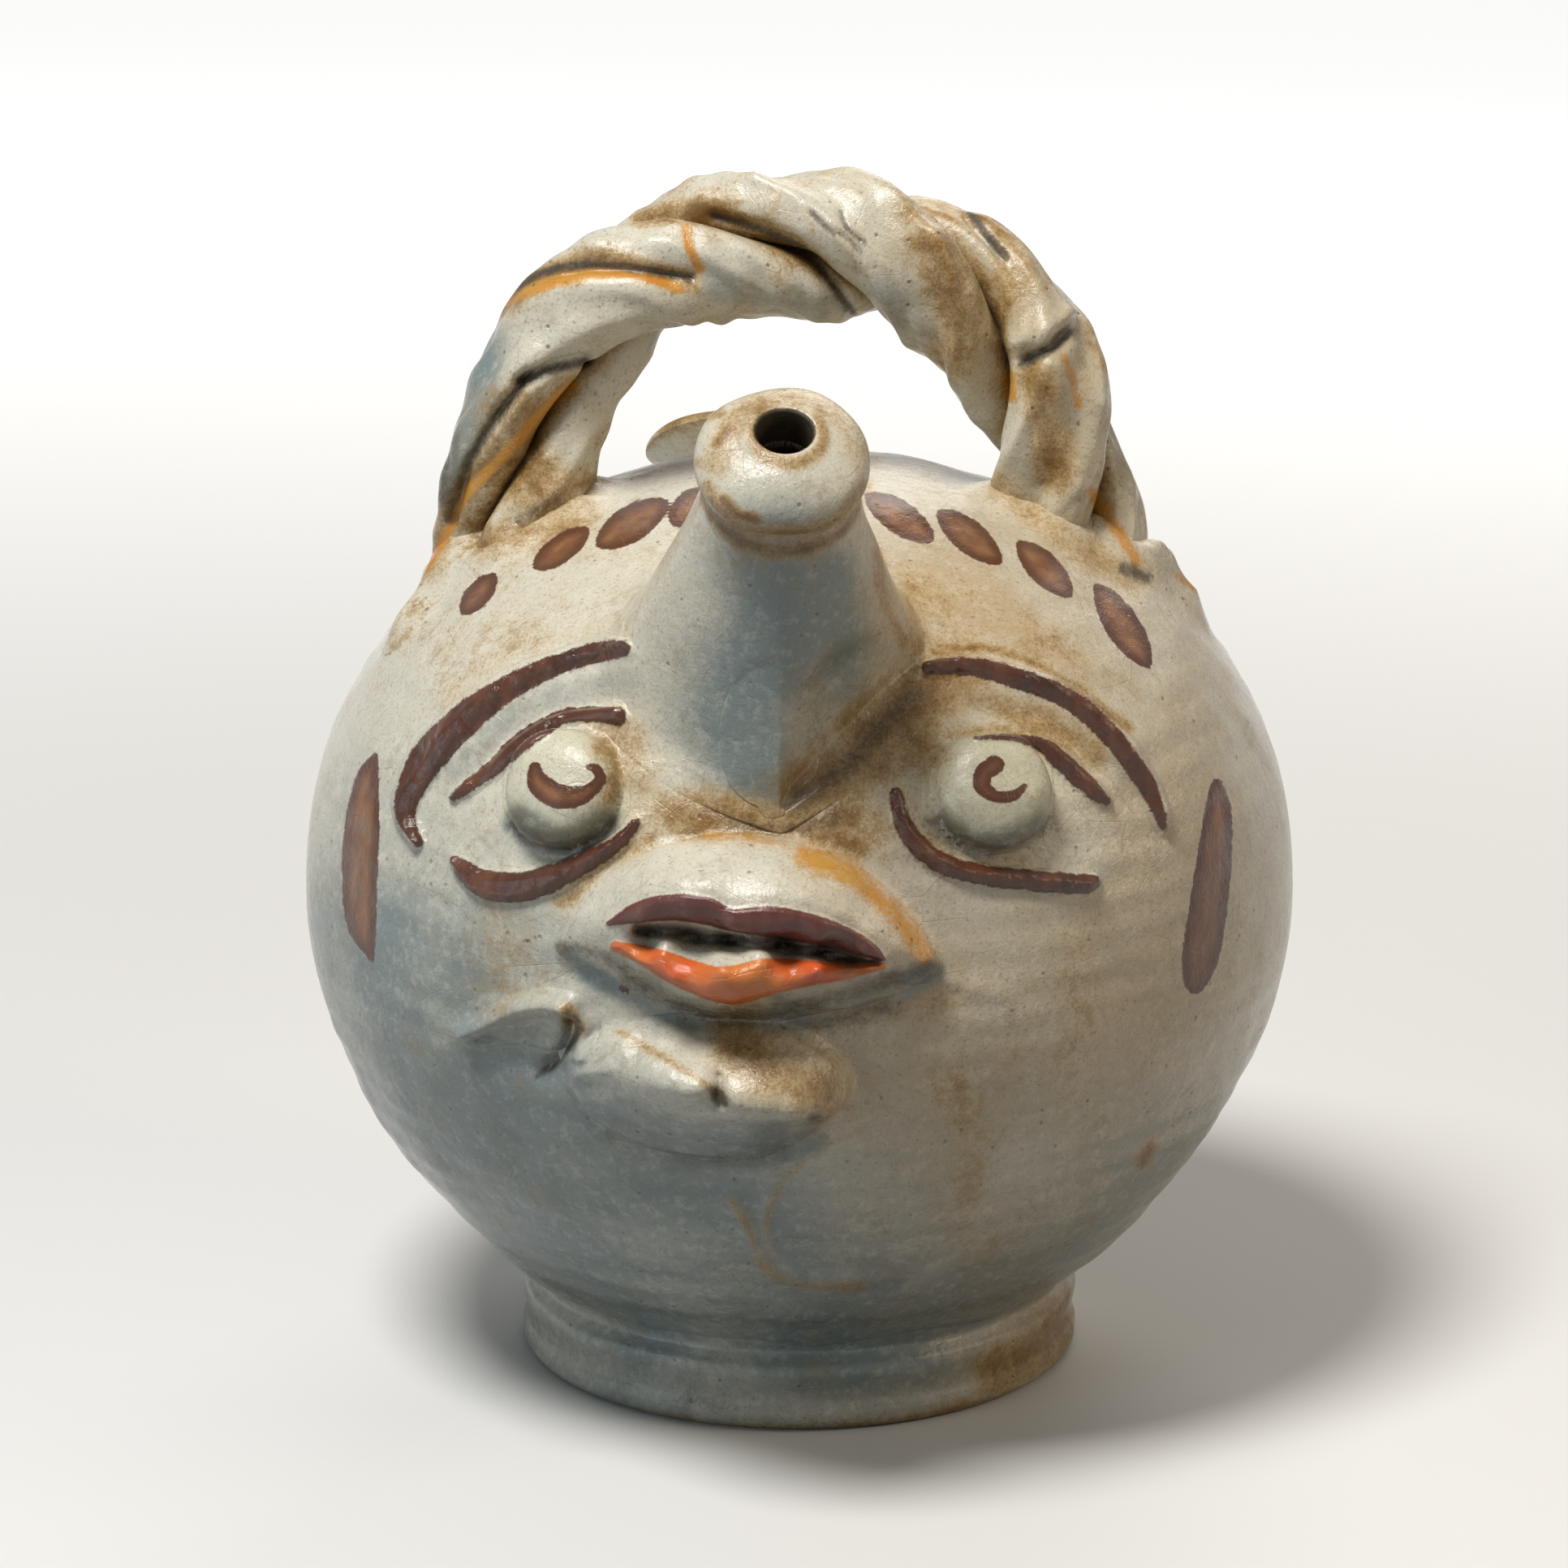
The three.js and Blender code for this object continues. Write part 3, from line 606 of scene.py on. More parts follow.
MOUTH_FOOTPRINT = [(705, 1158, 20), (770, 1140, 72), (850, 1140, 104), (920, 1142, 114),
                   (1000, 1150, 102), (1080, 1172, 66), (1140, 1188, 20)]
CHIN_FOOTPRINT = [(724, 1320, 30), (790, 1330, 72), (870, 1340, 88), (950, 1338, 80),
                  (1015, 1332, 36)]

# Heights of the clay above the globe, each at a place on the chart: (right, down, height).
MOUTH_CLAY = [
    (668, 1165, 0), (690, 1118, 0), (740, 1074, 0), (800, 1040, 0), (860, 1026, 0), (940, 1024, 0),
    (1010, 1036, 0), (1080, 1070, 0), (1132, 1122, 0), (1174, 1190, 0), (1150, 1226, 0),
    (1090, 1240, 0), (1020, 1256, 0), (930, 1270, 0), (850, 1264, 0), (780, 1240, 0),
    (720, 1206, 0), (700, 1158, 3), (1146, 1188, 4), (748, 1132, 8.5), (775, 1108, 11),
    (800, 1094, 13), (835, 1086, 14.4), (870, 1086, 15), (905, 1098, 14.8), (950, 1097, 15),
    (1000, 1103, 14.2), (1040, 1122, 12.6), (1075, 1148, 10.5), (1105, 1172, 8.5),
    (780, 1070, 5.5), (840, 1050, 7), (900, 1046, 7.5), (960, 1050, 7.5), (1020, 1066, 6.5),
    (1072, 1098, 5), (738, 1105, 4.5), (1112, 1140, 4.5), (790, 1140, 11), (850, 1134, 13),
    (900, 1148, 13), (960, 1152, 13), (1010, 1162, 12), (1060, 1176, 9.5), (800, 1153, 5),
    (850, 1154, 5), (900, 1164, 5), (960, 1165, 5), (1010, 1173, 5), (1050, 1183, 5.5),
    (770, 1160, 8.5), (820, 1168, 10.8), (870, 1186, 11.8), (892, 1177, 12.4), (950, 1176, 12.2),
    (1010, 1184, 11), (1070, 1191, 8.5), (790, 1185, 9.8), (830, 1206, 12), (870, 1226, 13.2),
    (910, 1231, 13.6), (960, 1222, 13), (1010, 1209, 11.5), (1080, 1200, 8.5), (800, 1210, 3),
    (860, 1243, 3.5), (910, 1250, 3.5), (970, 1240, 3.5), (1030, 1227, 3.5), (1100, 1210, 3.5),
]
CHIN_CLAY = [
    (675, 1335, 0), (690, 1378, 0), (740, 1412, 0), (820, 1434, 0), (900, 1440, 0), (970, 1428, 0),
    (1032, 1400, 0), (1070, 1352, 0), (1062, 1300, 0), (1040, 1264, 0), (960, 1256, 0.0),
    (860, 1262, 0.0), (780, 1250, 0), (712, 1268, 0), (712, 1338, 2.5), (735, 1320, 5),
    (765, 1300, 7.5), (800, 1308, 10.5), (830, 1320, 13), (860, 1338, 15), (884, 1353, 13.5),
    (905, 1358, 15), (940, 1364, 15), (975, 1370, 14), (1005, 1372, 10.5), (1030, 1345, 5.5),
    (800, 1277, 3.4), (850, 1287, 5), (900, 1292, 5.6), (950, 1300, 7.0), (1000, 1312, 6.4),
    (755, 1356, 6), (830, 1376, 8.6), (900, 1388, 8.6), (960, 1390, 7.6), (1000, 1388, 4.6),
    (800, 1398, 4.5), (870, 1412, 4.6), (940, 1412, 4.2),
]

# Grooves of the handle: a line, its width and height in the clay, and the spread and strength of the painted
# shade and dark marks in it.
GROOVES = [
    ([(586, 418), (640, 352), (720, 326), (850, 342)], 9, -2.4, 6.5, 1.02),
    ([(640, 470), (680, 455), (722, 446)], 8, -2.4, 7.8, 1.1),
    ([(650, 466), (612, 515), (577, 570), (552, 640)], 8, -2.6, 7.8, 0.935),
    ([(880, 266), (950, 287), (1000, 317), (1050, 385)], 8, -1.6, 6.5, 0.935),
    ([(1000, 262), (1024, 286), (1040, 290), (1062, 312)], 4, -0.9, 5, 0.7),
    ([(1036, 262), (1046, 284), (1066, 300)], 4, -0.9, 5, 0.7),
    ([(1196, 262), (1214, 288), (1238, 316)], 6, -1.8, 6.5, 1.1),
    ([(1316, 408), (1292, 430), (1262, 446)], 8, -2.4, 7.8, 1.19),
    ([(1386, 700), (1414, 712)], 9, -2.5, 9, 1),
]

# Each wash is a line on the chart with its spread and its strength.
WASHES: dict[Wash, list[tuple[Line, float, float]]] = {
    Wash.OCHRE: [
        ([(1080, 680), (1090, 740), (1116, 792)], 9.45, 0.9),
        ([(1126, 730), (1134, 800), (1146, 840)], 27, 0.6),
        ([(1075, 905), (1120, 872), (1180, 836)], 48.6, 1.1),
        ([(1000, 975), (1060, 945), (1126, 920)], 45.9, 0.95),
        ([(1180, 852), (1240, 872), (1340, 925)], 27, 0.75),
        ([(1130, 900), (1118, 980), (1150, 1040)], 27, 0.5),
        ([(830, 1000), (895, 1004), (960, 1012), (1040, 1002)], 29.7, 1),
        ([(760, 900), (786, 950), (800, 1000)], 40.5, 0.6),
        ([(840, 1026), (930, 1020), (1010, 1030), (1060, 1044)], 12.2, 1.1),
        ([(692, 1112), (740, 1068), (800, 1036)], 13.5, 0.8),
        ([(740, 920), (762, 940), (752, 980)], 17.6, 0.9),
        ([(1150, 801), (1230, 801), (1310, 838), (1392, 898)], 6.75, 1.1),
        ([(1140, 740), (1230, 770), (1320, 820)], 62.1, 0.42),
        ([(1170, 905), (1240, 900), (1292, 930)], 9.45, 0.8),
        ([(1120, 1020), (1170, 1056), (1270, 1050)], 24.3, 0.4),
        ([(600, 668), (660, 640), (700, 600)], 27, 0.7),
        ([(700, 600), (790, 580), (860, 570)], 9.45, 0.8),
        ([(1230, 600), (1300, 650), (1400, 715)], 21.6, 0.7),
        ([(1175, 1340), (1190, 1400), (1205, 1520)], 35.1, 0.4),
        ([(1330, 1180), (1290, 1320)], 81, 0.25),
        ([(640, 1150), (620, 1250)], 54, 0.25),
        ([(1418, 1412), (1408, 1432)], 9.45, 1.1),
        ([(1230, 1690), (1290, 1660), (1314, 1622)], 32.4, 1),
        ([(690, 1722), (820, 1754), (980, 1764), (1150, 1748), (1285, 1705)], 12.2, 0.8),
        ([(905, 1262), (930, 1310), (1010, 1345)], 45.9, 0.85),
        ([(762, 1270), (830, 1310), (892, 1352)], 6.75, 0.7),
        ([(698, 1246), (712, 1266)], 10.8, 1.1),
        ([(900, 1478), (925, 1520), (945, 1565), (1000, 1584), (1060, 1584)], 6.75, 0.6),
        ([(1060, 1390), (980, 1440), (945, 1500), (950, 1560)], 6.75, 0.4),
        ([(880, 570), (905, 520), (960, 492), (1030, 510), (1068, 560)], 24.3, 0.6),
        ([(940, 500), (930, 540), (950, 566), (990, 568), (1014, 545), (1008, 505)], 10.8, 1),
        ([(885, 545), (900, 530)], 10.8, 1.1),
        ([(795, 545), (840, 512), (886, 508)], 12.2, 0.9),
        ([(600, 385), (660, 345), (740, 322), (850, 345)], 16.2, 1.1),
        ([(706, 474), (630, 552), (572, 612), (530, 702)], 18.9, 0.8),
        ([(640, 520), (640, 590), (690, 640)], 45.9, 0.8),
        ([(1150, 300), (1180, 370), (1176, 440)], 35.1, 0.9),
        ([(1275, 470), (1290, 530), (1300, 590)], 27, 0.95),
        ([(788, 268), (870, 262), (950, 292), (1010, 330)], 13.5, 1.1),
        ([(1130, 262), (1200, 258), (1250, 290)], 29.7, 0.8),
        ([(1240, 320), (1220, 420)], 24.3, 0.5),
        ([(940, 1280), (1000, 1330), (1010, 1380)], 40, 0.5),
        ([(560, 760), (700, 760), (820, 700)], 70, 0.16),
        ([(1100, 940), (1090, 1010), (1010, 1030)], 40, 0.5),
        ([(560, 860), (640, 800), (760, 770)], 22, 0.3),
        ([(1010, 1255), (1080, 1240), (1160, 1230)], 24, 0.5),
        ([(892, 616), (908, 632), (930, 640)], 9, 1.5),
        ([(872, 600), (900, 642), (960, 656), (1030, 642), (1066, 600)], 12, 0.9),
    ],
    Wash.ORANGE: [
        ([(612, 372), (690, 346), (770, 336), (836, 354)], 9, 1.2),
        ([(845, 282), (850, 305), (862, 333)], 8, 1.1),
        ([(706, 474), (672, 505), (630, 552), (572, 612), (548, 662), (522, 702)], 8, 1.1),
        ([(1242, 462), (1246, 488)], 9, 1.1),
        ([(1312, 440), (1330, 500)], 7, 0.9),
        ([(1346, 608), (1376, 652), (1402, 694)], 10, 1),
        ([(1448, 708), (1482, 730)], 7, 0.9),
        ([(990, 1052), (1050, 1080), (1100, 1124), (1140, 1178)], 20, 0.85),
        ([(870, 1030), (940, 1036), (1000, 1052)], 9, 0.6),
    ],
    # Painted bluish shade and painted reflection of a dark surface below: under the brows, eyes, mouth and
    # chin, on the nose, on the handle's shaded sides, and over the lower belly and foot.
    Wash.COOL_SHADE: [
        ([(480, 1200), (560, 1400), (720, 1540)], 170, 0.95),
        ([(640, 1380), (850, 1510), (960, 1640)], 150, 1),
        ([(960, 1560), (1180, 1600)], 100, 0.6),
        ([(700, 1640), (900, 1690), (1120, 1670)], 70, 0.8),
        ([(960, 680), (960, 780), (900, 870), (940, 950)], 78, 1),
        ([(1020, 700), (1040, 850)], 50, 0.9),
        ([(760, 1365), (860, 1400), (960, 1400)], 26, 1.3),
        ([(640, 1290), (700, 1330)], 60, 0.8),
        ([(590, 410), (585, 480), (556, 580)], 34, 1.2),
        ([(870, 350), (1010, 385)], 26, 0.5),
        ([(1090, 360), (1150, 470), (1205, 540)], 34, 0.6),
        ([(560, 950), (620, 890), (690, 850), (770, 838)], 22, 0.5),
        ([(1240, 860), (1320, 900), (1376, 950)], 20, 0.4),
        ([(480, 1000), (560, 1120), (660, 1180)], 90, 0.5),
        ([(730, 1372), (830, 1412), (930, 1420), (1000, 1404)], 22, 1.6),
        ([(640, 1012), (695, 1036), (748, 1010)], 20, 1.2),
        ([(1160, 1010), (1215, 1034), (1280, 1012)], 18, 1.1),
        ([(700, 1180), (780, 1230), (860, 1262), (960, 1262), (1080, 1232), (1150, 1200)], 15, 1.2),
    ],
    # Painted light, partly the glaze's own beige: the right of the globe and handle turns beige.
    Wash.WARM_LIGHT_AND_BEIGE: [
        ([(1200, 700), (1400, 900), (1500, 1200), (1400, 1450)], 230, 1),
        ([(1100, 1250), (1250, 1500), (1280, 1660)], 150, 1),
        ([(1240, 280), (1300, 450), (1400, 640)], 70, 0.8),
    ],
    # Painted shade with some dark marks: under the eyes, nose, lips and chin, in the mouth's slit, on the
    # handle's shaded side and in its grooves, and where the foot meets the floor.
    Wash.SHADE_AND_GRIME: [
        ([(760, 1392), (860, 1424), (960, 1418)], 24, 0.5),
        ([(960, 1240), (1010, 1262), (1100, 1240)], 20, 0.6),
        ([(634, 1018), (660, 1036), (695, 1046), (735, 1032), (754, 1014)], 16, 0.75),
        ([(1146, 1016), (1180, 1036), (1215, 1044), (1262, 1034), (1292, 1014)], 15, 0.7),
        ([(985, 985), (1040, 945), (1100, 880), (1128, 855)], 20.8, 0.595),
        ([(1000, 850), (1010, 900)], 44.2, 0.357),
        ([(900, 1012), (960, 1022), (1030, 1010)], 14.3, 0.51),
        (PARTING, 9, 1.15),
        ([(1092, 1206), (1126, 1200), (1148, 1192)], 14, 0.8),
        ([(772, 1204), (830, 1234), (870, 1250), (940, 1250), (1010, 1234), (1090, 1212)], 13, 0.75),
        ([(692, 1166), (730, 1172), (772, 1196)], 11.7, 0.68),
        ([(745, 1126), (790, 1096), (860, 1092), (900, 1108), (960, 1106), (1040, 1132)], 6, 0.25),
        ([(880, 1346), (892, 1358)], 10.4, 0.935),
        ([(1000, 1378), (1008, 1378)], 7.8, 0.935),
        ([(716, 1268), (694, 1298), (664, 1324)], 5.2, 0.935),
        ([(698, 1254), (712, 1258)], 7.8, 0.68),
        ([(556, 470), (548, 540), (545, 610)], 20.8, 0.765),
        ([(640, 640), (690, 612)], 12, 0.6),
        ([(652, 1570), (760, 1608), (980, 1630), (1200, 1608), (1308, 1570)], 10.4, 0.425),
        ([(840, 1724), (900, 1732)], 15.6, 0.425),
        ([(660, 1708), (800, 1754), (980, 1769), (1160, 1752), (1300, 1702)], 7.8, 0.85),
        *((line, spread, strength) for line, _, _, spread, strength in GROOVES),
    ],
}

# Lines on the handle that are dragged into the clay or raised from it: width and height follow.
DRAGS: list[tuple[Line, float, float]] = [
    ([(600, 402), (660, 366), (760, 356), (850, 384)], 18, 1.3),
    ([(610, 430), (596, 500)], 24, -1.8),
    ([(640, 560), (600, 640)], 22, 1.2),
    ([(1330, 380), (1290, 402), (1250, 420)], 13, 1.4),
    ([(1262, 460), (1268, 540), (1280, 600)], 8, -1.1),
    ([(1300, 450), (1312, 530), (1330, 600)], 13, 1.0),
    ([(1150, 290), (1180, 360), (1196, 440)], 10, 0.9),
    ([(930, 215), (1000, 240), (1080, 320), (1140, 420)], 9, 0.7),
    *((line, width, height) for line, width, height, _, _ in GROOVES),
]


# Relief of the skin


@dataclass(frozen=True)
class Ridge:
    """A raised or sunk line on the chart."""

    line: Line
    width: float
    height: float
    power: float = 2.0

    def rise(self, places: Array) -> Array:
        """Height at chart places: the height times exp(-(distance / width)^power)."""
        gap = gap_to(places, self.line, self.width)
        return self.height * np.exp(-((gap / self.width) ** self.power))


@dataclass(frozen=True)
class Clay:
    """Clay modelled by hand, whose surface runs through given heights."""

    marks: Line
    footprint: Line
    softness: float = 7.0

    def rise(self, places: Array) -> Array:
        """Height at chart places of the skin, by multiquadric interpolation between the marks.

        A mark is given where its point is seen, so it is first moved to the place of the skin that
        lies straight below the point.

        Args:
            places: Rows of right and down.

        Returns:
            Millimetres, fading to 0 at the edge of the footprint.
        """
        marks = np.asarray(self.marks, float)
        spots = marks[:, :2]
        for _ in range(4):
            skin = CHART.on_skin(spots, SKIN)
            raised = CHART.place(skin + SKIN.normal(skin) * marks[:, 2:])
            spots = spots + marks[:, :2] - raised
        gaps = np.linalg.norm(spots[:, None] - spots, axis=-1)
        weights = np.linalg.solve(np.hypot(gaps, self.softness), marks[:, 2])
        depth = along_line(places, smooth_line(self.footprint), 12)[0]
        height = np.full(len(places), -SUNK)
        near = depth > -11
        far = np.linalg.norm(places[near][:, None] - spots, axis=-1)
        inside = np.hypot(far, self.softness) @ weights
        height[near] = inside * ease(depth[near], -8, 12) - SUNK * ease(-depth[near], 0, 10)
        return height


@dataclass
class Relief:
    """Everything that the potter raised on the globe, as one height above its skin."""

    spout_place: tuple[float, float] = (-8.6, 83.9)
    spout_pitch: float = 55.0
    spout_yaw: float = 4.0
    spout_reach: float = 57.0
    spout_base: float = 31.5
    spout_neck: float = 14.6
    spout_flare: float = 1.4
    eye_places: tuple = ((-55.8, 47.5), (44.4, 48.2))
    eye_radius: float = 12.6
    eye_height: float = 8.8
    spout_tip: float = 33.0
    spout_corner: float = 1.3
    nose_ridge: Line = ((780, 1022), (828, 1000), (870, 976), (925, 960), (985, 960))
    nose_side: Line = ((790, 1137), (830, 1128), (870, 1104), (910, 1058), (950, 1010), (990, 972))
    nose_cut: float = 6.5
    # Fillets where a form meets the globe, and the weld round the handle's feet.
    spout_fillet: float = 4.0
    clay_fillet: float = 1.5
    eye_fillet: float = 1.6
    trail_fillet: float = 3.0
    weld_height: float = 3.6
    weld_width: float = 4.5
    # Backs of the coils in steps of the chart, and the lips' relief in millimetres.
    coil_edge: float = 4.0
    coil_half: float = 15.0
    lip_rise: float = 0.9
    slit_depth: float = 3.0
    thinning: float = 0.15
    mouth: Clay = Clay(MOUTH_CLAY, MOUTH_FOOTPRINT)
    chin: Clay = Clay(CHIN_CLAY, CHIN_FOOTPRINT)
    coils: tuple = (
        (LEFT_BROW, 3.3), (RIGHT_BROW, 3.0), (LEFT_UPPER_LID, 2.3), (RIGHT_UPPER_LID, 2.0),
        (LEFT_LOWER_LID, 2.3), (RIGHT_LOWER_LID, 2.2),
    )
    ridges: tuple = (
        Ridge([(560, 930), (620, 868), (690, 838), (750, 824)], 26, 1.6),
        Ridge([(1190, 838), (1290, 868), (1380, 930)], 26, 1.4),
        Ridge([(590, 960), (650, 890), (740, 862)], 15, -1.5),
        Ridge([(1200, 872), (1290, 890), (1350, 945)], 15, -1.3),
        Ridge([(884, 1330), (886, 1362)], 7, -1.8),
        Ridge([(712, 1322), (740, 1318)], 10, 1.2),
        Ridge([(580, 1272), (650, 1240), (704, 1236)], 15, 3.4),
        Ridge([(700, 1262), (694, 1290), (664, 1324)], 7, -2.6),
        Ridge([(700, 1238), (722, 1262), (716, 1300)], 9, 1.6),
        Ridge([(600, 1296), (680, 1322)], 18, -1.6),
        Ridge([(1090, 1130), (1150, 1200), (1240, 1230)], 12, 0.6),
        Ridge([(1100, 1215), (1180, 1222)], 5, -0.6),
        Ridge([(905, 1480), (930, 1540), (970, 1580), (1050, 1585)], 9, 0.5),
        Ridge([(1040, 1400), (960, 1440), (945, 1520), (980, 1572)], 8, 0.45),
        Ridge([(560, 1350), (640, 1420)], 24, -0.8),
    )
    feet: Array | None = None
    trails: list = field(default_factory=list)

    @property
    def spout_frame(self) -> Frame:
        """The frame of the spout, with Z along its bore."""
        return frame_at(SKIN.face(*self.spout_place), Skin.heading(self.spout_yaw, self.spout_pitch))

    def spout_radius(self, height: Array, turn: Array) -> Array:
        """Radius of the trumpet: waist plus flare times (1 - height / reach)^power.

        Below the level of its axis the foot narrows to a tip, by a superellipse in the turn.

        Args:
            height: Height along the bore.
            turn: Angle about the bore in radians, a quarter turn below 0 at the tip.

        Returns:
            Radii in millimetres.
        """
        low = np.sin(turn) < 0
        power = self.spout_corner
        tip = (np.abs(np.cos(turn)) / self.spout_base) ** power
        tip = (tip + (np.abs(np.sin(turn)) / self.spout_tip) ** power) ** (-1 / power)
        base = np.where(low, tip, self.spout_base)
        below = np.clip(1 - height / self.spout_reach, 0, 1)
        grow = 0.35 * np.clip(-height, 0, 14)
        return self.spout_neck + (base - self.spout_neck) * below**self.spout_flare + grow

    def spout_rise(self, skin: Array) -> tuple[Array, Array]:
        """Height of the trumpet's wall above each place of the skin, by halving along the normal.

        Args:
            skin: Places on the skin.

        Returns:
            Millimetres, negative outside the trumpet's foot, and the turn about the bore.
        """
        normal = SKIN.normal(skin)
        place = self.spout_frame
        here = into(skin, place)
        aside, turn = np.hypot(here[:, 0], here[:, 1]), np.arctan2(here[:, 1], here[:, 0])
        low, high = np.zeros(len(skin)), np.full(len(skin), 60.0)
        for _ in range(20):
            middle = (low + high) / 2
            local = into(skin + normal * middle[:, None], place)
            around = np.arctan2(local[:, 1], local[:, 0])
            inside = np.hypot(local[:, 0], local[:, 1]) < self.spout_radius(local[:, 2], around)
            inside &= local[:, 2] < self.spout_reach
            low, high = np.where(inside, middle, low), np.where(inside, high, middle)
        outside = self.spout_radius(here[:, 2], turn) - aside
        rise = np.where(outside > 0, low, np.maximum(outside, -30))
        return np.where(here[:, 2] > -45, rise, -30.0), turn

    def cut(self, places: Array) -> Array:
        """Depth of the flat that is pressed on the right of the nose's ridge.

        It starts as a crease at the ridge and grows as 1 - (1 - u)^2 to the nose's right edge,
        with u the share of the way across.

        Args:
            places: Chart places.

        Returns:
            Millimetres.
        """
        ridge, side = np.array(self.nose_ridge, float), np.array(self.nose_side, float)
        x, y = places[:, 0], places[:, 1]
        start, end = np.interp(y, *ridge.T), np.interp(y, *side.T)
        u = (x - start) / np.maximum(end - start, 8)
        depth = np.where(u < 1, 1 - (1 - np.clip(u, 0, 1)) ** 2, np.exp(-(((u - 1) / 0.4) ** 2)))
        return self.nose_cut * depth * ease(y, 770, 850) * ease(-y, -1004, -970)

    def eye_rise(self, skin: Array, which: int) -> Array:
        """Height of an eye: a dome that is cubic across, (1 - r^3)^0.5."""
        centre = SKIN.face(*self.eye_places[which])
        far = np.linalg.norm(skin - centre, axis=-1) / self.eye_radius
        return np.maximum(self.eye_height * signed_power(1 - far**3.2, 0.46), -12)

    def forms(self, skin: Array) -> Array:
        """Height of the large forms together, with a fillet where each meets the globe."""
        spout, turn = self.spout_rise(skin)
        fillet = self.spout_fillet + 5.0 * ease(np.sin(turn), -0.95, -0.2)
        height = swell(np.zeros(len(skin)), spout, fillet)
        seen = facing_front(skin, SKIN.normal(skin))
        places = CHART.place(skin)
        for clay in (self.chin, self.mouth):
            rise = clay.rise(places) * seen - SUNK * (1 - seen)
            height = swell(height, rise, self.clay_fillet)
        for which in (0, 1):
            height = swell(height, self.eye_rise(skin, which), self.eye_fillet)
        for points, rise, width in self.trails:
            line = np.column_stack([points, np.full(len(points), width)])
            depth = along_line(skin, line)[0] / width
            trail = rise * signed_power(np.clip(depth, -1, 1), 0.8)
            height = swell(height, trail, self.trail_fillet)
        if self.feet is not None:
            near = (skin[:, 2] > self.feet[:, 2].min() - 12) & (np.abs(skin[:, 1]) < 40)
            gap = np.full(len(skin), 99.0)
            close = skin[near]
            gap[near] = np.sqrt(((close[:, None] - self.feet) ** 2).sum(-1).min(-1))
            height = height + self.weld_height * np.exp(-((gap / self.weld_width) ** 1.6))
        return height

    def details(self, places: Array, front: Array) -> Array:
        """Height of the small forms: coils with round backs, lips, ridges and cracks.

        Args:
            places: Chart places of the large forms.
            front: 1 where the surface faces the chart and 0 behind.

        Returns:
            Millimetres above the large forms.
        """
        height = np.zeros(len(places))
        for line, rise in self.coils:
            curve = smooth_line(line)
            depth = along_line(places, curve)[0] + self.coil_edge
            height += rise * np.clip(depth / self.coil_half, 0, 1) ** 0.6 * ease(depth, 0, 6)
        for line, rise, low, high in (
            (UPPER_LIP, self.lip_rise, -2, 7),
            (LOWER_LIP, self.lip_rise, -2, 8),
            (PARTING, -self.slit_depth, -5, 5),
        ):
            height += rise * ease(along_line(places, smooth_line(line))[0], low, high)
        for ridge in self.ridges:
            height += ridge.rise(places)
        return height * front

    def height(self, skin: Array) -> Array:
        """Height of the finished clay above places of the skin.

        Args:
            skin: Places on the skin.

        Returns:
            Millimetres.
        """
        height = self.forms(skin)
        normal = SKIN.normal(skin)
        front = facing_front(skin, normal)
        places = CHART.place(skin + normal * height[:, None])
        height = height - np.minimum(self.cut(places), 0.8 * np.clip(height, 0, 99)) * front
        height = height + self.details(places, front)
        dents = 0.35 * ripples(skin, 46, 3) + 0.12 * ripples(skin, 15, 4)
        rings = 0.1 * np.sin(skin[:, 2] * 0.9 + 0.5 * ripples(skin, 90, 5))
        calm = ease(np.abs(skin[:, 0]), SKIN.radius - 2, SKIN.radius - 9)
        return height + (dents + rings - 0.25) * calm - self.thinning


RELIEF = Relief()


# Colour on the surface


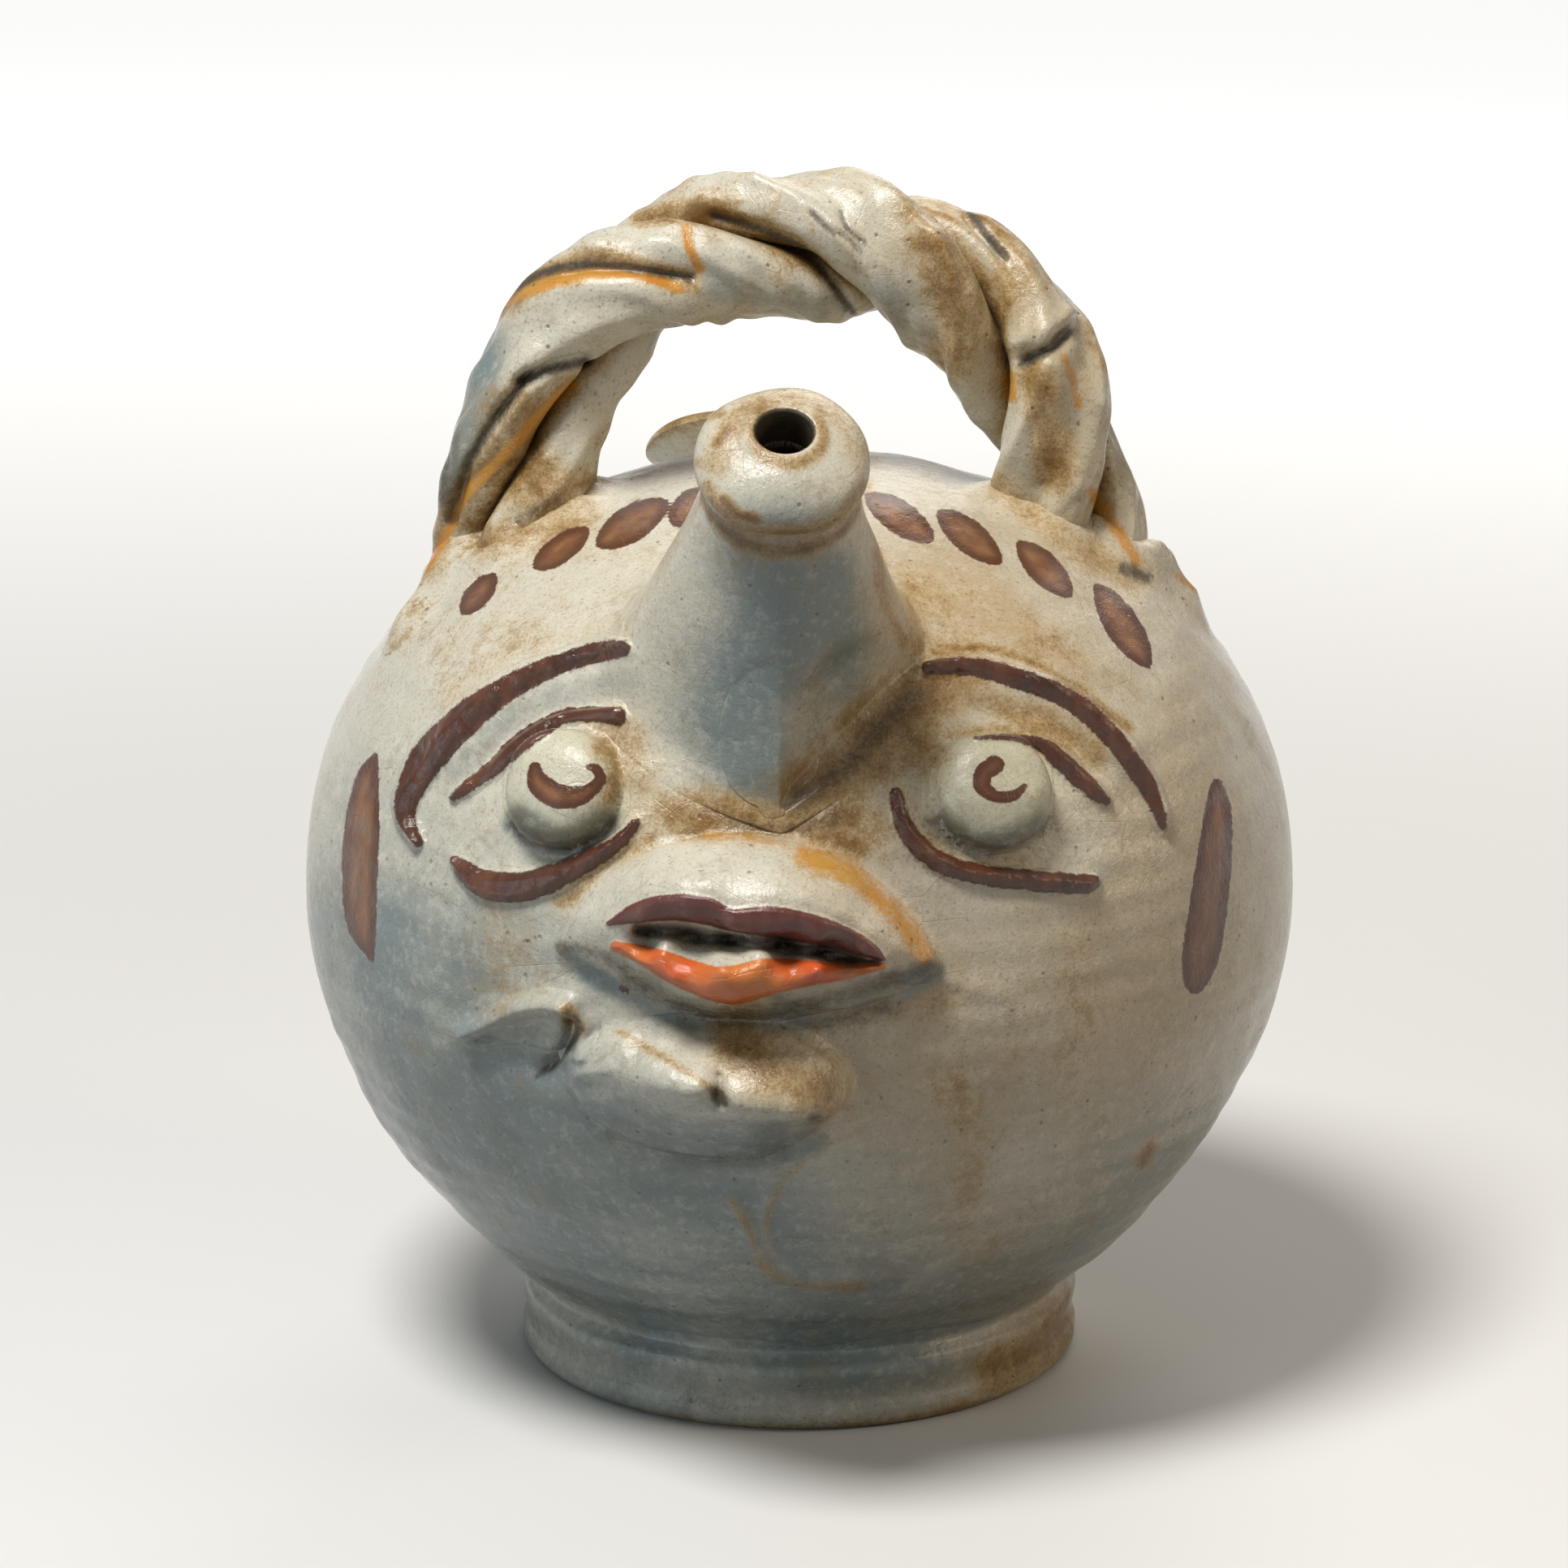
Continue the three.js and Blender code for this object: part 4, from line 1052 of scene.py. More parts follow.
def paint(piece: Piece, leaves: bool, extra: dict[Wash, Array] | None) -> None:
    """Writes how deep each vertex lies in every brushed colour and wash to the mesh.

    A brushed colour is stored as millimetres inside its edge, and a wash as its strength, which is
    the strongest of its lines by strength * exp(-(distance / spread)^2).

    Args:
        piece: A mesh object in its final shape.
        leaves: Whether the painted leaves may reach it.
        extra: Strengths to add for each vertex.
    """
    mesh = piece.data
    count = len(mesh.vertices)
    points, normals = np.empty(count * 3, np.float32), np.empty(count * 3, np.float32)
    mesh.vertices.foreach_get("co", points)
    mesh.vertex_normals.foreach_get("vector", normals)
    points, normals = points.reshape(-1, 3) / MM, normals.reshape(-1, 3)
    places = CHART.place(points.astype(float))
    front = facing_front(points, normals, 0.15)
    deep: dict[Paint, Array] = {}
    for kind, lines in (
        (Paint.BROWN, [LEFT_BROW, RIGHT_BROW, LEFT_UPPER_LID, RIGHT_UPPER_LID, LEFT_LOWER_LID,
                       RIGHT_LOWER_LID]),
        (Paint.THIN, [*BARS, *LEAVES] if leaves else BARS),
        (Paint.MAROON, [UPPER_LIP]),
        (Paint.CORAL, [LOWER_LIP]),
    ):
        depths = [along_line(places, smooth_line(line))[0] for line in lines]
        depth = np.max(depths, 0) * CHART.step
        deep[kind] = np.where(front > 0.02, np.clip(depth, -6, 6), -6.0)
    washes = {kind: np.zeros(count) for kind in Wash}
    for kind, lines in WASHES.items():
        for line, spread, strength in lines:
            gap = gap_to(places, line, spread)
            amount = strength * np.exp(-((gap / spread) ** 2)) * front
            washes[kind] = np.maximum(washes[kind], amount)
    # Painted bluish shade: more on the lower half, more on the left, and on every surface that faces down.
    drift = 18 * ripples(points, 120, 61)
    low = ease(-points[:, 2] + drift, -140.0, -30.0)
    left = ease(-points[:, 0] + drift, -50.0, 60.0)
    under = ease(-normals[:, 2], 0.0, 0.9)
    washes[Wash.COOL_SHADE] = np.maximum(washes[Wash.COOL_SHADE], low * (0.35 + 0.35 * left) + 0.25 * under)
    # Painted light from the right, partly the glaze's own beige.
    washes[Wash.WARM_LIGHT_AND_BEIGE] = np.maximum(washes[Wash.WARM_LIGHT_AND_BEIGE], 0.55 * (1 - left))
    for kind, values in (extra or {}).items():
        washes[kind] = np.maximum(washes[kind], values)
    for kind, values in (*deep.items(), *washes.items()):
        layer = mesh.attributes.new(kind.value, "FLOAT", "POINT")
        layer.data.foreach_set("value", values.astype(np.float32))


# Shader maths


class Sock:
    """A number inside a shader that Python arithmetic can be done on."""

    def __init__(self, tree: bpy.types.NodeTree, out: Link) -> None:
        """Keeps the node tree and the output socket."""
        self.tree, self.out = tree, out

    def _do(self, operation: str, *values: "Sock | float") -> "Sock":
        """Adds one Math node and returns its result.

        Args:
            operation: The node's operation.
            values: Up to three operands.

        Returns:
            The result.
        """
        node = self.tree.nodes.new("ShaderNodeMath")
        node.operation = operation
        for slot, value in zip(node.inputs, values):
            if isinstance(value, Sock):
                self.tree.links.new(value.out, slot)
            else:
                slot.default_value = value
        return Sock(self.tree, node.outputs[0])

    def __add__(self, other: "Sock | float") -> "Sock":
        """Sum."""
        return self._do("ADD", self, other)

    def __sub__(self, other: "Sock | float") -> "Sock":
        """Difference."""
        return self._do("SUBTRACT", self, other)

    def __rsub__(self, other: float) -> "Sock":
        """Difference from a number."""
        return self._do("SUBTRACT", other, self)

    def __mul__(self, other: "Sock | float") -> "Sock":
        """Product."""
        return self._do("MULTIPLY", self, other)

    __radd__ = __add__
    __rmul__ = __mul__

    def top(self, other: "Sock | float") -> "Sock":
        """The larger of two numbers."""
        return self._do("MAXIMUM", self, other)

    def step(self, low: float, high: float) -> "Sock":
        """A smooth step from 0 at low to 1 at high, or down where low is the larger.

        Args:
            low: Value that gives 0.
            high: Value that gives 1.

        Returns:
            The stepped number.
        """
        node = self.tree.nodes.new("ShaderNodeMapRange")
        node.interpolation_type = "SMOOTHSTEP"
        self.tree.links.new(self.out, node.inputs["Value"])
        swap = low > high
        node.inputs["From Min"].default_value = min(low, high)
        node.inputs["From Max"].default_value = max(low, high)
        node.inputs["To Min"].default_value = float(swap)
        node.inputs["To Max"].default_value = float(not swap)
        return Sock(self.tree, node.outputs["Result"])


class Shader:
    """A material under construction."""

    def __init__(self, name: str) -> None:
        """Starts an empty material with a Principled surface."""
        self.material = bpy.data.materials.new(name)
        self.material.use_nodes = True
        self.tree = self.material.node_tree
        self.surface = self.tree.nodes["Principled BSDF"]
        self.coords = self.node("ShaderNodeTexCoord").outputs["Object"]

    def node(self, kind: str, settings: dict | None = None,
             inputs: dict | None = None) -> bpy.types.Node:
        """Adds a node.

        Args:
            kind: The node's type.
            settings: Its own properties, set first.
            inputs: Values or links of its sockets, by name or number.

        Returns:
            The node.
        """
        node = self.tree.nodes.new(kind)
        for key, value in (settings or {}).items():
            setattr(node, key, value)
        for key, value in (inputs or {}).items():
            socket = node.inputs[key]
            if isinstance(value, Sock):
                self.tree.links.new(value.out, socket)
            elif isinstance(value, Link):
                self.tree.links.new(value, socket)
            elif isinstance(value, tuple):
                socket.default_value = (*value, 1.0)[: len(socket.default_value)]
            else:
                socket.default_value = value
        return node

    def output(self, node: bpy.types.Node, name: str) -> Sock:
        """One output of a node, as a number."""
        return Sock(self.tree, node.outputs[name])

    def drawn(self, cells: bpy.types.Node, channel: str) -> Sock:
        """The number from 0 to 1 that each cell draws: one channel of its random colour."""
        split = self.node("ShaderNodeSeparateColor", {}, {0: cells.outputs["Color"]})
        return self.output(split, channel)

    def layer(self, kind: Wash | Paint) -> Sock:
        """Reads what paint() stored for a colour."""
        return self.output(self.node("ShaderNodeAttribute", {"attribute_name": kind.value}), "Fac")

    def stretched(self, scale: Colour) -> Link:
        """Object coordinates scaled on each axis."""
        settings = {"operation": "MULTIPLY"}
        return self.node("ShaderNodeVectorMath", settings, {0: self.coords, 1: scale}).outputs[0]

    def noise(self, scale: float, detail: float = 4.0, vector: Link | None = None,
              rough: float = 0.55, bend: float = 0.0) -> Sock:
        """Cloud noise.

        Args:
            scale: Clouds to the metre.
            detail: Octaves.
            vector: Coordinates, or None for plain object coordinates.
            rough: Share of the finer octaves.
            bend: Distortion.

        Returns:
            Numbers round 0.5.
        """
        sockets = {"Vector": vector or self.coords, "Scale": scale, "Detail": detail,
                   "Roughness": rough, "Distortion": bend}
        return self.output(self.node("ShaderNodeTexNoise", {}, sockets), "Fac")

    def cells(self, scale: float, feature: str = "F1") -> bpy.types.Node:
        """Voronoi cells of a given number to the metre."""
        return self.node("ShaderNodeTexVoronoi", {"feature": feature},
                         {"Vector": self.coords, "Scale": scale})

    def mix(self, factor: Sock | float, a: "Link | Colour",
            b: "Link | Colour") -> Link:
        """Mixes two colours.

        Args:
            factor: Share of the second.
            a: First colour.
            b: Second colour.

        Returns:
            The mixed colour.
        """
        settings = {"data_type": "RGBA", "blend_type": "MIX", "clamp_factor": True}
        return self.node("ShaderNodeMix", settings, {0: factor, 6: a, 7: b}).outputs[2]

    def feed(self, socket: str, value: "Sock | Link") -> None:
        """Links a value to a socket of the surface."""
        out = value.out if isinstance(value, Sock) else value
        self.tree.links.new(out, self.surface.inputs[socket])


# The noises of a glaze, from the widest to the finest.
Noises = tuple[Sock, Sock, Sock, Sock]


@dataclass(frozen=True)
class Glaze:
    """Tin glaze over red clay, with its stains, pinholes, crackle and brushed colours, and with painted
    shade and painted light.
    """

    name: str
    slot: str
    pale: Colour = (0.63, 0.60, 0.49)
    # The colour of the painted bluish shade and of the painted reflection of a dark surface below.
    cool: Colour = (0.215, 0.27, 0.27)
    # The colour of the painted light on the right, and of the glaze's own beige.
    beige: Colour = (0.50, 0.40, 0.26)
    honey: Colour = (0.47, 0.295, 0.09)
    ochre: Colour = (0.19, 0.092, 0.014)
    orange: Colour = (0.56, 0.215, 0.006)
    # The colour of the darkest painted shade and marks.
    grime: Colour = (0.045, 0.036, 0.024)
    milk: Colour = (0.74, 0.71, 0.62)
    dun: Colour = (0.33, 0.28, 0.19)
    chalk: Colour = (0.76, 0.75, 0.68)
    dust: Colour = (0.25, 0.20, 0.13)
    gold: Colour = (0.52, 0.30, 0.055)
    pit: Colour = (0.085, 0.045, 0.022)
    fleck: Colour = (0.19, 0.125, 0.06)
    craze: Colour = (0.25, 0.18, 0.1)
    # The colour of the soft painted shade round them.
    soil_and_shade: Colour = (0.15, 0.115, 0.07)
    thin_brown: tuple[Colour, Colour] = ((0.10, 0.036, 0.016), (0.33, 0.15, 0.065))
    thick_brown: tuple[Colour, Colour] = ((0.055, 0.018, 0.011), (0.17, 0.062, 0.030))
    maroon: tuple[Colour, Colour] = ((0.12, 0.030, 0.026), (0.17, 0.065, 0.045))
    coral: tuple[Colour, Colour] = ((0.66, 0.105, 0.025), (0.62, 0.27, 0.06))
    stain: float = 0.0
    speckle: float = 0.5
    roughness: float = 0.13
    blister: float = 0.4

    def body(self, sh: Shader, noises: Noises) -> Link:
        """The glaze itself: pale, bluer and darker under the painted shade, and beige under the painted
        light, which is partly the glaze's own beige.

        Args:
            sh: The shader.
            noises: The four noises of the glaze.

        Returns:
            The colour.
        """
        cloud, patch, fine, grain = noises
        # Painted light from the right, partly the glaze's own beige, where its wash lies.
        warm_light_and_beige_share = (sh.layer(Wash.WARM_LIGHT_AND_BEIGE) * (0.45 + 0.7 * cloud) + (patch - 0.5) * 0.2).step(0.0, 1.0)
        body = sh.mix(warm_light_and_beige_share, self.pale, self.beige)
        body = sh.mix(cloud * patch * 0.35, body, self.milk)
        # Painted bluish shade: the glaze turns bluer and darker where this wash lies.
        thick = (sh.layer(Wash.COOL_SHADE) * (0.6 + 0.6 * cloud) + (fine - 0.5) * 0.16).step(0.0, 1.0)
        body = sh.mix(thick, body, self.cool)
        body = sh.mix((fine * patch).step(0.3, 0.9) * 0.4, body, self.dun)
        body = sh.mix((1 - fine).step(0.55, 1.0) * 0.22, body, self.chalk)
        return sh.mix(grain.step(0.55, 1.0) * 0.34, body, self.dust)

    def stained(self, sh: Shader, body: Link,
                noises: Noises) -> tuple[Link, Sock]:
        """Iron stains: a wide dusty honey haze with darker cores that gather in pores.

        Args:
            sh: The shader.
            body: The colour below.
            noises: The four noises of the glaze.

        Returns:
            The colour and how dark the stain is.
        """
        cloud, patch, fine, grain = noises
        layer = sh.layer(Wash.OCHRE)
        dust = (fine - 0.5) * 0.4 + (grain - 0.5) * 0.45 + (patch - 0.5) * 0.35
        amount = layer * 0.95 + patch * cloud * self.stain
        haze = (amount + dust * 0.4 * amount.step(0.0, 0.4)).step(0.0, 0.9)
        body = sh.mix(haze * 0.75, body, self.honey)
        core = (amount + dust).step(0.3, 1.5) * amount.step(0.05, 0.6)
        body = sh.mix(core, body, self.ochre)
        layer = sh.layer(Wash.ORANGE)
        orange = (layer + dust * 0.5).step(0.25, 0.95) * layer.step(0.05, 0.4)
        gold = sh.mix(patch * 0.7, self.orange, self.gold)
        return sh.mix(orange * 0.92, body, gold), core

    def material(self) -> bpy.types.Material:
        """Builds the shader.

        Returns:
            The material.
        """
        sh = Shader(self.name)
        cloud = sh.noise(22, 4, bend=0.4).step(0.36, 0.64)
        patch = sh.noise(75, 6, rough=0.6).step(0.3, 0.7)
        fine = sh.noise(380, 6, rough=0.65).step(0.27, 0.73)
        grain = sh.noise(1500, 3, rough=0.7).step(0.28, 0.72)
        streak = sh.noise(240, 4, sh.stretched((1.0, 1.0, 0.25))).step(0.3, 0.7)
        noises = (cloud, patch, fine, grain)
        body, core = self.stained(sh, self.body(sh, noises), noises)
        body, hole, crack = self.pitted(sh, body, patch)
        body, shade_and_dirt = self.shaded_and_soiled(sh, body, noises)
        body, thick, thin = self.brushed(sh, body, noises, streak)
        # Painted shade darkens the creases once more, to their darkest.
        sh.feed("Base Color", sh.mix(shade_and_dirt * 0.5, body, self.grime))
        sh.feed("Roughness", self.roughness + 0.12 * patch + 0.3 * shade_and_dirt + 0.1 * core - 0.08 * thick)
        bubble = sh.output(sh.cells(330, "SMOOTH_F1"), "Distance").step(0.55, 0.05)
        height = 0.24 * fine + 0.07 * grain + 0.3 * patch - 0.5 * hole - 0.15 * crack
        height = height + thick * (0.3 + self.blister * bubble) + 0.08 * thin - 0.3 * shade_and_dirt * fine
        bump = sh.node("ShaderNodeBump", {}, {"Strength": 0.55, "Distance": 0.0007, "Height": height})
        sh.feed("Normal", bump.outputs[0])
        sh.surface.inputs["IOR"].default_value = 1.48
        return sh.material

    def pitted(self, sh: Shader, body: Link, patch: Sock) -> tuple[Link, Sock, Sock]:
        """Pinholes and specks, and a thin crackle.

        Args:
            sh: The shader.
            body: The colour below.
            patch: The noise that breaks the crackle up.

        Returns:
            The colour, the holes and the cracks.
        """
        pores, dots, web = sh.cells(300), sh.cells(760), sh.cells(95, "DISTANCE_TO_EDGE")
        hole = sh.output(pores, "Distance").step(0.2, 0.06) * sh.drawn(pores, "Red").step(0.62, 0.95)
        speck = sh.output(dots, "Distance").step(0.4, 0.1) * sh.drawn(dots, "Green").step(0.5, 0.95)
        crack = sh.output(web, "Distance").step(0.014, 0.0) * patch
        body = sh.mix(hole * self.speckle, body, self.pit)
        body = sh.mix(speck * self.speckle * 0.7, body, self.fleck)
        return sh.mix(crack * 0.3, body, self.craze), hole, crack

    def shaded_and_soiled(self, sh: Shader, body: Link, noises: Noises) -> tuple[Link, Sock]:
        """Painted shade and soiling in the creases, under the features and in the hollows.

        Args:
            sh: The shader.
            body: The colour below.
            noises: The four noises of the glaze.

        Returns:
            The colour and where the painted shade and soiling lie.
        """
        _, _, fine, grain = noises
        # Painted shade with some soiling: a soft dark spread and a ragged darker core.
        shade_and_soot = sh.layer(Wash.SHADE_AND_GRIME)
        shade_and_dirt = (shade_and_soot + (fine - 0.5) * 0.45 + (grain - 0.5) * 0.3).step(0.15, 1.4) * shade_and_soot.step(0.0, 0.6)
        body = sh.mix(shade_and_soot.step(0.0, 1.0) * 0.55, body, self.soil_and_shade)
        return sh.mix(shade_and_dirt * 0.9, body, self.grime), shade_and_dirt

    def brushed(self, sh: Shader, body: Link, noises: Noises,
                streak: Sock) -> tuple[Link, Sock, Sock]:
        """Brushed colours, with ragged edges.

        Args:
            sh: The shader.
            body: The colour below.
            noises: The four noises of the glaze.
            streak: A noise that is drawn out upwards.

        Returns:
            The colour, where the paint is thick and where it is thin.
        """
        _, patch, fine, grain = noises
        rag = (fine - 0.5) * 0.5 + (grain - 0.5) * 0.3
        thick = (sh.layer(Paint.BROWN) + rag).step(-0.15, 0.3)
        depth = sh.layer(Paint.THIN)
        thin = (depth + rag * 0.7).step(-0.1, 0.25)
        wear = depth.step(0.7, 3.0) * (0.35 + 0.65 * streak)
        body = sh.mix(thin, body, sh.mix(wear * 0.8, *self.thin_brown))
        body = sh.mix(thick, body, sh.mix(streak * 0.5 + patch * 0.3, *self.thick_brown))
        maroon = (sh.layer(Paint.MAROON) + rag * 0.4).step(-0.15, 0.35)
        coral = (sh.layer(Paint.CORAL) + rag * 0.4).step(-0.15, 0.35)
        body = sh.mix(maroon, body, sh.mix(streak * 0.7, *self.maroon))
        return sh.mix(coral, body, sh.mix(patch * 0.6, *self.coral)), thick, thin


TIN = Glaze("tin_glaze", "tin_glaze", stain=0.22)
# The same finish as TIN; the blue-grey of the nose, chin, cheek fold and foot that wear it is painted shade.
SHADED_TIN = Glaze("blue_grey_glaze", "blue_grey_glaze", stain=0.22)
ROPE = Glaze("stained_rope_glaze", "stained_rope_glaze", stain=0.6, speckle=0.7, roughness=0.15,
             beige=(0.46, 0.36, 0.21))
MANGANESE = Glaze("manganese_glaze", "manganese_glaze", roughness=0.15, blister=0.8, stain=0.1)
MAROON = Glaze("maroon_lip_glaze", "maroon_lip_glaze", roughness=0.16)
CORAL = Glaze("coral_lip_glaze", "coral_lip_glaze", roughness=0.14)
# Its painted shade is olive and dark, as under the eyes.
EYE = Glaze("eye_glaze", "eye_glaze", pale=(0.60, 0.575, 0.43), beige=(0.50, 0.45, 0.29),
            cool=(0.16, 0.17, 0.12), roughness=0.15, speckle=0.3, stain=0.08)
MATERIALS: dict[str, bpy.types.Material] = {}


def hand_over(piece: Piece, glaze: Glaze, node: str, leaves: bool = True,
              extra: dict[Wash, Array] | None = None) -> Piece:
    """Paints and dresses a finished piece and gives it to the body that it rides on.

    Args:
        piece: The object.
        glaze: Its finish.
        node: The CAD node that it stands for.
        leaves: Whether the painted leaves may reach it.
        extra: Strengths of washes to add for each vertex.

    Returns:
        The object.
    """
    paint(piece, leaves, extra)
    if glaze.name not in MATERIALS:
        MATERIALS[glaze.name] = glaze.material()
    piece.data.materials.append(MATERIALS[glaze.name])
    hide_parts(node)
    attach(piece, "root")
    log.info("%s: %d faces for %s", piece.name, len(piece.data.polygons), node)
    return piece


# Draped clay


@dataclass(frozen=True)
class Patch:
    """A region of the chart that one piece of clay covers."""

    name: str
    node: str
    glaze: Glaze
    line: Line
    margin: float = 7.0
    spacing: float = 2.4

    def depth(self, places: Array) -> Array:
        """Steps of the chart inside the region's edge, negative outside."""
        return along_line(places, smooth_line(self.line))[0] + self.margin

    def build(self, under_cover: Callable[[Array], Array]) -> Piece:
        """Lays a strip of grid along the line and drapes it at the height of the clay.

        The strip runs along the line, and its width follows the line's half width. Its rim dives
        below the surface, so that the piece and what carries it meet without a step.

        Args:
            under_cover: Gives how far this piece sinks below what lies on it.

        Returns:
            The object.
        """
        curve = smooth_line(self.line, 24)
        run = np.hypot(*np.diff(curve[:, :2], axis=0).T)
        length = np.concatenate([[0], np.cumsum(run)])
        ends = np.array([-1.0, 1.0]) * (curve[[0, -1], 2] + self.margin)
        count = max(24, int((length[-1] + ends[1] - ends[0]) / self.spacing))
        s = np.linspace(ends[0], length[-1] + ends[1], count)
        inner = np.clip(s, 0, length[-1])
        centre = np.stack([np.interp(inner, length, curve[:, k]) for k in range(3)], -1)
        way = np.stack([np.gradient(np.interp(inner, length, curve[:, k])) for k in (0, 1)], -1)
        first, last = curve[1, :2] - curve[0, :2], curve[-1, :2] - curve[-2, :2]
        way = np.where((s <= 0)[:, None], first, np.where((s >= length[-1])[:, None], last, way))
        way = unit(way)
        for _ in range(6):
            way[1:-1] = unit(way[:-2] + 2 * way[1:-1] + way[2:])
        centre[:, :2] += way * (s - inner)[:, None]
        beyond = np.abs(s - inner) / (centre[:, 2] + self.margin)
        half = (centre[:, 2] + self.margin) * np.sqrt(np.clip(1 - beyond**2, 0.02, 1))
        across = np.stack([-way[:, 1], way[:, 0]], -1)
        columns = max(10, int(2 * half.max() / self.spacing))
        w = np.linspace(-1, 1, columns)
        places = centre[:, None, :2] + across[:, None] * (half[:, None] * w)[..., None]
        skin = CHART.on_skin(places, SKIN).reshape(-1, 3)
        edge = np.minimum(1 - np.abs(w)[None, :] + 0 * half[:, None], 1) * half[:, None]
        tip = np.minimum(s - s[0], s[-1] - s)[:, None] + 0 * w
        rim = np.minimum(edge, tip).reshape(-1)
        sink = 0.9 * ease(-rim, -3.0, 0.0) - 0.05
        height = RELIEF.height(skin)
        top = SKIN.settle(skin, height - sink - under_cover(skin))
        under = SKIN.settle(skin, BURIED)
        shape = (*places.shape[:2], 3)
        return slab(self.name, top.reshape(shape), under.reshape(shape))


BRIDGE = Patch("nose_bridge_clay", "nose_bridge", SHADED_TIN,
               [(950, 938, 52), (948, 960, 46), (950, 980, 27), (952, 990, 12)], 9, 2.2)
EYES = [
    Patch("eye_button_left", "eye_left", EYE, [(694, 975, 72), (700, 975, 72)], 7),
    Patch("eye_button_right", "eye_right", EYE, [(1214, 975, 74), (1220, 975, 74)], 7),
]
BROWS = [
    Patch("brow_coil_left", "brow_left", MANGANESE, LEFT_BROW),
    Patch("brow_coil_right", "brow_right", MANGANESE, RIGHT_BROW),
]
LIDS = [
    Patch("lid_coil_upper_left", "upper_lid_left", MANGANESE, LEFT_UPPER_LID),
    Patch("lid_coil_upper_right", "upper_lid_right", MANGANESE, RIGHT_UPPER_LID),
    Patch("lid_coil_lower_left", "lower_lid_left", MANGANESE, LEFT_LOWER_LID),
    Patch("lid_coil_lower_right", "lower_lid_right", MANGANESE, RIGHT_LOWER_LID),
]
MOUTH = Patch("mouth_clay", "mouth_mound", TIN, MOUTH_FOOTPRINT, 6, 2.6)
LIPS = [
    Patch("lip_roll_upper", "upper_lip", MAROON, UPPER_LIP, 4, 1.8),
    Patch("lip_roll_lower", "lower_lip", CORAL, LOWER_LIP, 4, 1.8),
]
CHIN = Patch("chin_clay", "chin_boss", SHADED_TIN, CHIN_FOOTPRINT, 8, 2.6)
FOLD = Patch("cheek_fold_clay", "cheek_fold", SHADED_TIN,
             [(590, 1272, 18), (650, 1255, 30), (700, 1262, 34), (706, 1300, 18)], 8)
PATCHES = [BRIDGE, *EYES, *BROWS, *LIDS, MOUTH, *LIPS, CHIN, FOLD]


def covered(skin: Array, patches: Sequence[Patch]) -> Array:
    """How far the clay below some patches sinks to make room for them.

    Args:
        skin: Places on the skin.
        patches: What lies on it.

    Returns:
        Millimetres, 0 outside all the patches.
    """
    places = CHART.place(skin)
    deep = np.full(len(skin), -9.0)
    for patch in patches:
        deep = np.maximum(deep, patch.depth(places))
    return ROOM * ease(deep, 4.0, 9.0) * facing_front(skin, SKIN.normal(skin), 0.1)


# Sub-assemblies


